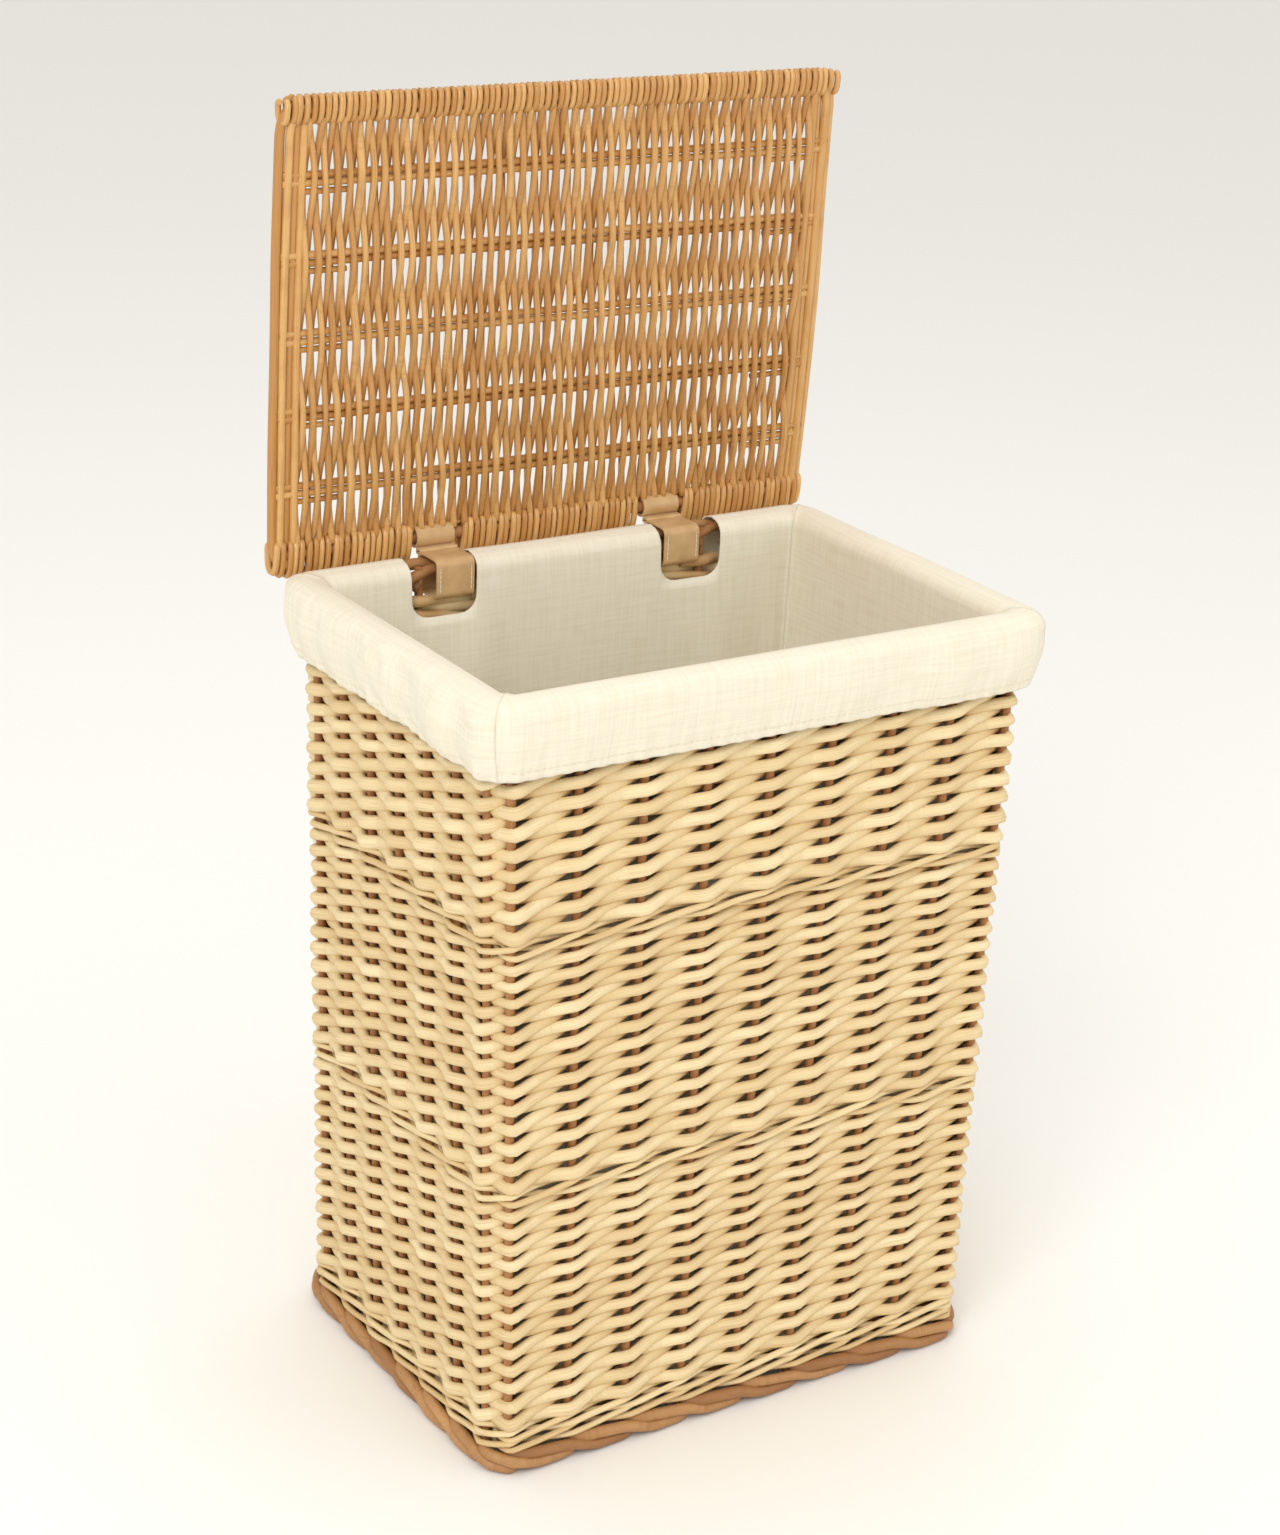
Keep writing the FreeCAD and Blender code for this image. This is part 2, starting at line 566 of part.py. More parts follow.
def make_panel():
    """The woven panel, the pairs of cross rods in it and the short rods at their ends."""
    body = doc.addObject("PartDesign::Body", "lid_panel")
    tall = "Sizes.lid_thickness"
    box(
        body, "Additive", f"2 * {PANEL_HALF}", f"{PANEL_FRONT} - {WRAP_IN}", tall,
        f"-{PANEL_HALF}", f"-{PANEL_FRONT}", f"-{tall} / 2",
    )
    bind(body, Placement=LID_FRAME)
    radius = "Sizes.cross_rod_diameter / 2"
    loose = f"{radius} + Sizes.rod_fit"
    pairs, short, ways = [], [], []
    for number in range(CROSS_PAIRS):
        middle = f"(Sizes.first_cross_pair + {number} * Sizes.cross_pair_pitch)"
        rods = []
        for place, sign in (("near", -1), ("far", 1)):
            back = f"(-{middle} + {sign} * Sizes.cross_rod_pitch / 2)"
            name = f"cross_rod_{number}_{place}"
            whole = (f"2 * {PANEL_HALF}", f"-{PANEL_HALF}", back, "0", LID_FRAME)
            rods.append(level_rod(name, radius, *whole))
            ways.append(level_rod(f"{name}_way", loose, *whole))
        pairs.append(group(f"lid_cross_pair_{number + 1}", rods))
        back = f"(-{middle} + 1.5 * Sizes.cross_rod_pitch)"
        for side, start in (
            ("left", f"-{PANEL_HALF}"),
            ("right", f"({PANEL_HALF} - Sizes.short_rod_length)"),
        ):
            name = f"short_rod_{number}_{side}"
            piece = ("Sizes.short_rod_length", start, back, "0", LID_FRAME)
            short.append(level_rod(name, radius, *piece))
            ways.append(level_rod(f"{name}_way", loose, *piece))
    weave = passed_by("lid_weave", body, group("lid_rod_ways", ways))
    return [weave, *pairs, group("lid_short_rods", short)]


def check_and_write(nodes):
    """Stops on any failed object or bad shape, then writes one file for each sub-part."""
    doc.recompute()
    for thing in doc.Objects:
        if "Invalid" in thing.State or "Error" in thing.State:
            raise RuntimeError(f"{thing.Name} failed: {thing.State}")
    for node in nodes:
        if node.Shape.isNull() or not node.Shape.isValid() or node.Shape.Volume <= 0:
            raise RuntimeError(f"{node.Label} has no valid shape")
    os.makedirs("parts", exist_ok=True)
    for node in nodes:
        node.Shape.exportStep(f"parts/{node.Label}.step")
        print(f"{node.Label}: {len(node.Shape.Solids)} solids, {node.Shape.Volume:.0f} mm3")


def main():
    """Builds the whole basket and writes its sub-parts."""
    make_sheet()
    stakes, passages = make_stakes()
    nodes = make_body(passages) + stakes + make_base() + make_liner()
    nodes += [make_strap("strap_left", -1), make_strap("strap_right", 1)]
    nodes += make_lid()
    check_and_write(nodes)


main()
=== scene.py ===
"""The looks of a woven willow laundry basket with a cloth liner and a hinged woven lid.

Every rod is a round section carried along a path that is worked out from the stakes it
passes. Lengths in the classes are metres; MM turns millimetres into them.
"""

import json
import logging
import math
from dataclasses import dataclass
from enum import Enum

import bpy
import numpy as np
from mathutils import Matrix, Vector

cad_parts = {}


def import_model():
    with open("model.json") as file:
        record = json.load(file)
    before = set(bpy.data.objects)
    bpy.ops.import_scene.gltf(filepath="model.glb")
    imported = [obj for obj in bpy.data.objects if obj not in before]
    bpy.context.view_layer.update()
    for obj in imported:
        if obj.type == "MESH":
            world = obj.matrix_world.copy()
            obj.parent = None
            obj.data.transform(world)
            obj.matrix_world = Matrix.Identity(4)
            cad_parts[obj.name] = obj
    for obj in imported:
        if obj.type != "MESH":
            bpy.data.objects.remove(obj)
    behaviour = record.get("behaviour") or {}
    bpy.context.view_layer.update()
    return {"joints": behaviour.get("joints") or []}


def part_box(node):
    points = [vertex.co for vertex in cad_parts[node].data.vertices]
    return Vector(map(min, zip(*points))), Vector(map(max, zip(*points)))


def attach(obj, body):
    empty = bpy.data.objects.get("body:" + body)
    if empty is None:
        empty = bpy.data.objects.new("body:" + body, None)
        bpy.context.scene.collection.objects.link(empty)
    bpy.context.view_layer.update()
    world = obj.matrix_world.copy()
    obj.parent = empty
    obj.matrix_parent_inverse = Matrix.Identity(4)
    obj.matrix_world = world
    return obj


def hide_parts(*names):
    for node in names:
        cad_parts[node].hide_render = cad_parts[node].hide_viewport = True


LOG = logging.getLogger("basket")
MM = 0.001

STAKES = 32  # upright stakes round the basket
STAKE_RADIUS = 3.25 * MM

Array = np.ndarray


# --- small tools ---------------------------------------------------------------------------


def linear(hex_colour: str) -> tuple[float, float, float, float]:
    """Turns an sRGB hex colour into linear values.

    Args:
        hex_colour: six hex digits, such as "C8A45A".

    Returns:
        Red, green, blue and alpha, from 0 to 1.
    """
    parts = [int(hex_colour[i : i + 2], 16) / 255 for i in (0, 2, 4)]
    flat = [p / 12.92 if p <= 0.04045 else ((p + 0.055) / 1.055) ** 2.4 for p in parts]
    return (*flat, 1.0)


def add_node(
    tree: bpy.types.NodeTree, kind: str, inputs: dict | None = None, **settings: object
) -> bpy.types.Node:
    """Adds a node with its settings, and links or sets its inputs.

    Args:
        tree: the material's node tree.
        kind: the node's type name.
        inputs: socket name or number to a value or to another node's output.
        **settings: the node's own properties.

    Returns:
        The new node.
    """
    node = tree.nodes.new(kind)
    for name, value in settings.items():
        setattr(node, name, value)
    for name, value in (inputs or {}).items():
        if isinstance(value, bpy.types.NodeSocket):
            tree.links.new(value, node.inputs[name])
        else:
            node.inputs[name].default_value = value
    return node


def new_material(name: str) -> tuple[bpy.types.Material, bpy.types.NodeTree, bpy.types.Node]:
    """Makes a material with nodes.

    Args:
        name: what the real material is.

    Returns:
        The material, its node tree and its shader.
    """
    made = bpy.data.materials.new(name)
    made.use_nodes = True
    return made, made.node_tree, made.node_tree.nodes["Principled BSDF"]


def unit(vectors: Array) -> Array:
    """Scales vectors along the last axis to length one."""
    return vectors / np.linalg.norm(vectors, axis=-1, keepdims=True)


def kinked(turns: Array, sharpness: float = 0.96) -> Array:
    """A wave of straight runs with rounded peaks: 1 at even numbers and -1 at odd ones.

    It is the arcsine of a cosine that is held a little below one, scaled to reach one.

    Args:
        turns: where to take the wave.
        sharpness: nearer to one gives sharper peaks.

    Returns:
        The wave, of the same shape.
    """
    return np.arcsin(sharpness * np.cos(math.pi * turns)) / math.asin(sharpness)


# --- meshes --------------------------------------------------------------------------------


@dataclass
class Skin:
    """A mesh in arrays: points, four-sided faces, many-sided caps, and what a finish reads."""

    points: Array
    quads: Array
    caps: Array
    quad_uv: Array
    # Each point's own rod colour from 0 to 1, plus painted shade above 1 where the rod lies in a
    # recess.
    tone: Array


def sweep(
    paths: Array, radii: Array, reference: Array, sides: int, tones_and_shade: Array, flat: float = 1.0
) -> Skin:
    """Carries a round section along many paths at once and closes both ends.

    A ring's point is the path's point + radius * (cos a * flat * n + sin a * b), where n is
    the reference direction made square to the path, b is path direction x n, and a runs
    round in equal steps.

    Args:
        paths: rods x stations x 3.
        radii: rods x stations.
        reference: a direction that no path runs along, that broadcasts to paths.
        sides: points in a ring.
        tones_and_shade: each rod's own colour from 0 to 1, plus painted shade above 1 where a rod
            lies in a recess, for each rod or rods x stations.
        flat: how thick the section is along the reference, as a share of its height.

    Returns:
        The rods as one skin.
    """
    rods, stations, _ = paths.shape
    along = unit(np.gradient(paths, axis=1))
    toward = reference - (reference * along).sum(-1, keepdims=True) * along
    normal = unit(toward)
    across = np.cross(along, normal)
    angle = np.linspace(0, 2 * math.pi, sides, endpoint=False)
    ring = (
        flat * np.cos(angle)[:, None] * normal[:, :, None, :]
        + np.sin(angle)[:, None] * across[:, :, None, :]
    )
    points = paths[:, :, None, :] + radii[:, :, None, None] * ring
    index = np.arange(rods * stations * sides).reshape(rods, stations, sides)
    after = np.roll(index, -1, axis=2)
    quads = np.stack([index[:, :-1], after[:, :-1], after[:, 1:], index[:, 1:]], axis=-1)
    caps = np.concatenate([index[:, 0, ::-1], index[:, -1, :]])
    steps = np.linalg.norm(np.diff(paths, axis=1), axis=-1)
    run = np.concatenate([np.zeros((rods, 1)), np.cumsum(steps, axis=1)], axis=1)
    girth = 2 * math.pi * radii.mean() / sides
    u_low = np.broadcast_to(run[:, :-1, None], quads.shape[:3])
    u_high = np.broadcast_to(run[:, 1:, None], quads.shape[:3])
    v_low = np.broadcast_to(np.arange(sides) * girth, quads.shape[:3])
    v_high = v_low + girth
    uv = np.stack(
        [
            np.stack([u_low, v_low], -1),
            np.stack([u_low, v_high], -1),
            np.stack([u_high, v_high], -1),
            np.stack([u_high, v_low], -1),
        ],
        axis=-2,
    )
    return Skin(
        points.reshape(-1, 3),
        quads.reshape(-1, 4),
        caps,
        uv.reshape(-1, 2),
        np.repeat(np.broadcast_to(tones_and_shade.reshape(rods, -1), (rods, stations)), sides),
    )


def joined(skins: list[Skin]) -> Skin:
    """Puts several skins into one.

    Args:
        skins: skins with the same number of cap corners.

    Returns:
        The one skin.
    """
    starts = np.cumsum([0] + [len(skin.points) for skin in skins[:-1]])
    return Skin(
        np.concatenate([skin.points for skin in skins]),
        np.concatenate([skin.quads + start for skin, start in zip(skins, starts)]),
        np.concatenate([skin.caps + start for skin, start in zip(skins, starts)]),
        np.concatenate([skin.quad_uv for skin in skins]),
        np.concatenate([skin.tone for skin in skins]),
    )


def mesh_object(name: str, skin: Skin) -> bpy.types.Object:
    """Makes a Blender object of a skin, with its UV map, its rods' own colours with their painted
    shade, and smooth shading.

    Args:
        name: the piece's name.
        skin: the arrays.

    Returns:
        The object, at the origin, with its place in its mesh.
    """
    mesh = bpy.data.meshes.new(name)
    cap_sides = skin.caps.shape[1] if skin.caps.size else 0
    corners = np.concatenate([skin.quads.ravel(), skin.caps.ravel()]).astype(np.int32)
    sizes = np.concatenate(
        [np.full(len(skin.quads), 4), np.full(len(skin.caps), cap_sides)]
    ).astype(np.int32)
    mesh.vertices.add(len(skin.points))
    mesh.vertices.foreach_set("co", skin.points.astype(np.float32).ravel())
    mesh.loops.add(len(corners))
    mesh.loops.foreach_set("vertex_index", corners)
    mesh.polygons.add(len(sizes))
    starts = np.concatenate([[0], np.cumsum(sizes)[:-1]]).astype(np.int32)
    mesh.polygons.foreach_set("loop_start", starts)
    mesh.polygons.foreach_set("loop_total", sizes)
    mesh.update(calc_edges=True)
    smooth = np.concatenate([np.ones(len(skin.quads), bool), np.zeros(len(skin.caps), bool)])
    mesh.polygons.foreach_set("use_smooth", smooth)
    uv = np.concatenate([skin.quad_uv, np.zeros((skin.caps.size, 2))])
    mesh.uv_layers.new(name="surface").data.foreach_set("uv", uv.astype(np.float32).ravel())
    # The attribute holds each rod's own colour from 0 to 1 and, above 1, painted shade in
    # recesses.
    tone = mesh.attributes.new("tone", "FLOAT", "POINT")
    tone.data.foreach_set("value", skin.tone.astype(np.float32))
    mesh.validate()
    piece = bpy.data.objects.new(name, mesh)
    bpy.context.scene.collection.objects.link(piece)
    return piece


def sheet_skin(surface: Array, lengths: Array) -> Skin:
    """Makes a skin of one grid of points.

    Args:
        surface: rows x columns x 3.
        lengths: rows x columns x 2, each point's place on the flat cloth in metres.

    Returns:
        The grid's skin, whose faces point along rows x columns.
    """
    rows, columns, _ = surface.shape
    index = np.arange(rows * columns).reshape(rows, columns)
    corners = [index[:-1, :-1], index[:-1, 1:], index[1:, 1:], index[1:, :-1]]
    quads = np.stack(corners, axis=-1).reshape(-1, 4)
    flat = lengths.reshape(-1, 2)
    return Skin(
        surface.reshape(-1, 3),
        quads,
        np.zeros((0, 0), int),
        flat[quads.ravel()],
        np.full(rows * columns, 0.5),
    )


def loop_skin(section: Array, along: Array, ends: Array) -> Skin:
    """Makes a closed band: a section that runs round a loop, such as a strap's.

    Args:
        section: stations round the loop x points round the band's section x 3.
        along: stations, the length round the loop in metres.
        ends: points of the section, the length round the section in metres.

    Returns:
        The band's skin.
    """
    stations, sides, _ = section.shape
    index = np.arange(stations * sides).reshape(stations, sides)
    on = np.roll(index, -1, axis=0)
    quads = np.stack([index, np.roll(index, -1, 1), np.roll(on, -1, 1), on], -1)
    run = np.append(along, along[-1] + along[1])
    girth = np.append(ends, ends[-1] + ends[1])
    low_u, low_v = np.meshgrid(run[:-1], girth[:-1], indexing="ij")
    high_u, high_v = np.meshgrid(run[1:], girth[1:], indexing="ij")
    uv = np.stack([low_u, low_v, low_u, high_v, high_u, high_v, high_u, low_v], -1)
    return Skin(
        section.reshape(-1, 3),
        quads.reshape(-1, 4),
        np.zeros((0, 0), int),
        uv.reshape(-1, 2),
        np.full(stations * sides, 0.5),
    )


# --- finishes ------------------------------------------------------------------------------


@dataclass(frozen=True)
class WillowFinish:
    """Willow rods: stripped white, boiled buff or stained, with fibres along each rod.

    Stripping leaves a smooth, faintly shiny surface. Every rod dries to its own colour, given
    from 0 to 1; values from 1 to 2 are painted shade, browner where it runs behind a stake.
    """

    name: str
    pale: str
    deep: str
    # The colour of the fibre lines, and also of the painted shade where a rod runs behind a stake
    # or into a recess.
    fibre_and_shade: str
    roughness: float = 0.5
    coat: float = 0.0
    fibre_width: float = 0.9 * MM  # wider than the real 0.2 mm, so that it shows
    fibre_length: float = 40 * MM
    mottle: float = 28 * MM  # from one darker patch of a rod to the next

    def material(self) -> bpy.types.Material:
        """Builds the finish's material.

        Returns:
            The material, or the one that is there already.
        """
        if self.name in bpy.data.materials:
            return bpy.data.materials[self.name]
        made, tree, shader = new_material(self.name)
        place = add_node(tree, "ShaderNodeUVMap", uv_map="surface")
        stretch = (1 / self.fibre_length, 1 / self.fibre_width, 1.0)
        rod = add_node(tree, "ShaderNodeAttribute", attribute_name="tone")
        moved = add_node(
            tree, "ShaderNodeCombineXYZ", {"X": rod.outputs["Fac"], "Y": rod.outputs["Fac"]}
        )
        shifted = add_node(
            tree, "ShaderNodeVectorMath", {0: place.outputs[0], 1: moved.outputs[0]}
        )
        run = add_node(tree, "ShaderNodeMapping", {0: shifted.outputs[0], "Scale": stretch})
        fibres = add_node(
            tree, "ShaderNodeTexNoise", {0: run.outputs[0], "Scale": 1.0, "Detail": 3.0}
        )
        spots = (1 / self.mottle, 0.35 / self.mottle, 1.0)
        patch = add_node(tree, "ShaderNodeMapping", {0: shifted.outputs[0], "Scale": spots})
        mottle = add_node(
            tree, "ShaderNodeTexNoise", {0: patch.outputs[0], "Scale": 1.0, "Detail": 4.0}
        )
        own = add_node(
            tree,
            "ShaderNodeMix",
            {0: rod.outputs["Fac"], 6: linear(self.pale), 7: linear(self.deep)},
            data_type="RGBA",
        )
        # Painted shade: values above 1 hold the rod at its deep colour and mix it, up to 0.75,
        # towards the dark fibre colour, where it runs behind a stake or into a recess.
        painted_shade = add_node(
            tree, "ShaderNodeMapRange", {0: rod.outputs["Fac"], 1: 1.0, 2: 2.0, 3: 0.0, 4: 0.75}
        )
        body = add_node(
            tree,
            "ShaderNodeMix",
            {0: painted_shade.outputs[0], 6: own.outputs[2], 7: linear(self.fibre_and_shade)},
            data_type="RGBA",
        )
        faded = add_node(
            tree,
            "ShaderNodeMapRange",
            {0: mottle.outputs[0], 1: 0.45, 2: 0.75, 3: 0.0, 4: 0.6},
        )
        patched = add_node(
            tree,
            "ShaderNodeMix",
            {0: faded.outputs[0], 6: body.outputs[2], 7: linear(self.deep)},
            data_type="RGBA",
        )
        lines = add_node(
            tree,
            "ShaderNodeMapRange",
            {0: fibres.outputs[0], 1: 0.5, 2: 0.8, 3: 0.0, 4: 0.55},
        )
        lined = add_node(
            tree,
            "ShaderNodeMix",
            {0: lines.outputs[0], 6: patched.outputs[2], 7: linear(self.fibre_and_shade)},
            data_type="RGBA",
        )
        rise = add_node(
            tree,
            "ShaderNodeBump",
            {"Strength": 0.5, "Distance": 0.25 * MM, "Height": fibres.outputs[0]},
        )
        tree.links.new(lined.outputs[2], shader.inputs["Base Color"])
        tree.links.new(rise.outputs[0], shader.inputs["Normal"])
        shader.inputs["Roughness"].default_value = self.roughness
        shader.inputs["IOR"].default_value = 1.5
        shader.inputs["Coat Weight"].default_value = self.coat
        shader.inputs["Coat Roughness"].default_value = 0.3
        return made


@dataclass(frozen=True)
class BarkFinish:
    """The round stakes and sticks of the frame, boiled with their bark on.

    Boiling stains them through, which gives a dull warm brown with a fine mottle.
    """

    name: str
    pale: str
    deep: str
    grain: float = 3.0 * MM

    def material(self) -> bpy.types.Material:
        """Builds the finish's material.

        Returns:
            The material, or the one that is there already.
        """
        if self.name in bpy.data.materials:
            return bpy.data.materials[self.name]
        made, tree, shader = new_material(self.name)
        place = add_node(tree, "ShaderNodeTexCoord")
        grain = add_node(
            tree,
            "ShaderNodeTexNoise",
            {0: place.outputs["Object"], "Scale": 1 / self.grain, "Detail": 3.0},
        )
        colour = add_node(
            tree,
            "ShaderNodeMix",
            {0: grain.outputs[0], 6: linear(self.pale), 7: linear(self.deep)},
            data_type="RGBA",
        )
        rise = add_node(
            tree,
            "ShaderNodeBump",
            {"Strength": 0.4, "Distance": 0.3 * MM, "Height": grain.outputs[0]},
        )
        tree.links.new(colour.outputs[2], shader.inputs["Base Color"])
        tree.links.new(rise.outputs[0], shader.inputs["Normal"])
        shader.inputs["Roughness"].default_value = 0.6
        return made


@dataclass(frozen=True)
class CalicoFinish:
    """Unbleached cotton calico, plain woven.

    It is matt and creamy, with thicker stretches of thread, slubs, that run both ways.
    """

    name: str
    light: str
    slub: str
    thread: float = 1.1 * MM  # real threads are 0.5 mm apart, too fine to show

    def material(self) -> bpy.types.Material:
        """Builds the finish's material.

        Returns:
            The material, or the one that is there already.
        """
        if self.name in bpy.data.materials:
            return bpy.data.materials[self.name]
        made, tree, shader = new_material(self.name)
        place = add_node(tree, "ShaderNodeUVMap", uv_map="surface")
        heights = []
        for along, across in (("X", (1.0, 0.05, 1.0)), ("Y", (0.05, 1.0, 1.0))):
            wave = add_node(
                tree,
                "ShaderNodeTexWave",
                {0: place.outputs[0], "Scale": 1 / (math.pi * self.thread), "Distortion": 0.4},
                bands_direction=along,
            )
            drawn = tuple(a / self.thread * 0.5 for a in across)
            run = add_node(tree, "ShaderNodeMapping", {0: place.outputs[0], "Scale": drawn})
            slubs = add_node(
                tree, "ShaderNodeTexNoise", {0: run.outputs[0], "Scale": 1.0, "Detail": 2.0}
            )
            heights += [wave.outputs["Fac"], slubs.outputs[0]]
        crossed = add_node(
            tree, "ShaderNodeMath", {0: heights[0], 1: heights[2]}, operation="MULTIPLY"
        )
        slubbed = add_node(
            tree, "ShaderNodeMath", {0: heights[1], 1: heights[3]}, operation="ADD"
        )
        shade = add_node(
            tree, "ShaderNodeMapRange", {0: slubbed.outputs[0], 1: 0.85, 2: 1.35, 3: 0.0, 4: 0.5}
        )
        colour = add_node(
            tree,
            "ShaderNodeMix",
            {0: shade.outputs[0], 6: linear(self.light), 7: linear(self.slub)},
            data_type="RGBA",
        )
        total = add_node(
            tree, "ShaderNodeMath", {0: crossed.outputs[0], 1: slubbed.outputs[0]}, operation="ADD"
        )
        rise = add_node(
            tree,
            "ShaderNodeBump",
            {"Strength": 0.35, "Distance": 0.2 * MM, "Height": total.outputs[0]},
        )
        tree.links.new(colour.outputs[2], shader.inputs["Base Color"])
        tree.links.new(rise.outputs[0], shader.inputs["Normal"])
        shader.inputs["Roughness"].default_value = 0.9
        shader.inputs["Specular IOR Level"].default_value = 0.25
        shader.inputs["Sheen Weight"].default_value = 0.15
        return made


@dataclass(frozen=True)
class LeatherFinish:
    """Tan strap leather: dyed through, with a fine pebbled grain and a waxed face.

    The wax gives it a low sheen, and handling makes cloudy darker patches.
    """

    name: str
    face: str
    crease: str
    grain: float = 1.1 * MM

    def material(self) -> bpy.types.Material:
        """Builds the finish's material.

        Returns:
            The material, or the one that is there already.
        """
        if self.name in bpy.data.materials:
            return bpy.data.materials[self.name]
        made, tree, shader = new_material(self.name)
        place = add_node(tree, "ShaderNodeTexCoord")
        pebbles = add_node(
            tree,
            "ShaderNodeTexVoronoi",
            {0: place.outputs["Object"], "Scale": 1 / self.grain},
        )
        cloud = add_node(
            tree,
            "ShaderNodeTexNoise",
            {0: place.outputs["Object"], "Scale": 1 / (14 * MM), "Detail": 4.0},
        )
        worn = add_node(
            tree, "ShaderNodeMapRange", {0: cloud.outputs[0], 1: 0.35, 2: 0.75, 3: 0.0, 4: 0.7}
        )
        colour = add_node(
            tree,
            "ShaderNodeMix",
            {0: worn.outputs[0], 6: linear(self.face), 7: linear(self.crease)},
            data_type="RGBA",
        )
        rise = add_node(
            tree,
            "ShaderNodeBump",
            {"Strength": 0.3, "Distance": 0.2 * MM, "Height": pebbles.outputs["Distance"]},
        )
        tree.links.new(colour.outputs[2], shader.inputs["Base Color"])
        tree.links.new(rise.outputs[0], shader.inputs["Normal"])
        shader.inputs["Roughness"].default_value = 0.5
        return made


class Finish(Enum):
    """Every finish on the basket."""

    # Each willow's third colour is that of its fibre lines and also of the painted shade in its
    # recesses.
    WHITE_WILLOW = WillowFinish("stripped white willow rods", "EFDCB0", "DCC08C", "AE7A42")
    THIN_WILLOW = WillowFinish("stripped white willow, thin", "EBD7A8", "D6B680", "AE8048")
    BUFF_WILLOW = WillowFinish("boiled buff willow rods", "C4935E", "9A6839", "6A4220")
    HONEY_WILLOW = WillowFinish(
        "honey stained lacquered willow", "DDAE6C", "BC8442", "7E4E20", 0.38, 0.25
    )
    STAKE_BARK = BarkFinish("boiled willow stakes", "B8824E", "8F5E34")
    CALICO = CalicoFinish("unbleached calico, plain woven", "ECE5D2", "DAD0B6")
    LEATHER = LeatherFinish("tan strap leather, waxed", "D0AC7C", "B48C5A")
    THREAD = CalicoFinish("waxed linen thread", "E6DDC8", "D3C7AA")


def dress(piece: bpy.types.Object, finish: Finish, slot: str, body: str, *nodes: str) -> None:
    """Gives a piece its finish, its body and the nodes that it stands for.

    Args:
        piece: a finished mesh object at the origin.
        finish: what it is made of.
        slot: the record's material slot; not used.
        body: the body that it rides on.
        *nodes: CAD nodes that aren't shown, because this piece stands for them.
    """
    piece.data.materials.clear()
    piece.data.materials.append(finish.value.material())
    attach(piece, body)
    if nodes:
        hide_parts(*nodes)
    piece.data.calc_loop_triangles()
    LOG.info("%s: %d triangles", piece.name, len(piece.data.loop_triangles))


# --- the wall's own measure ----------------------------------------------------------------


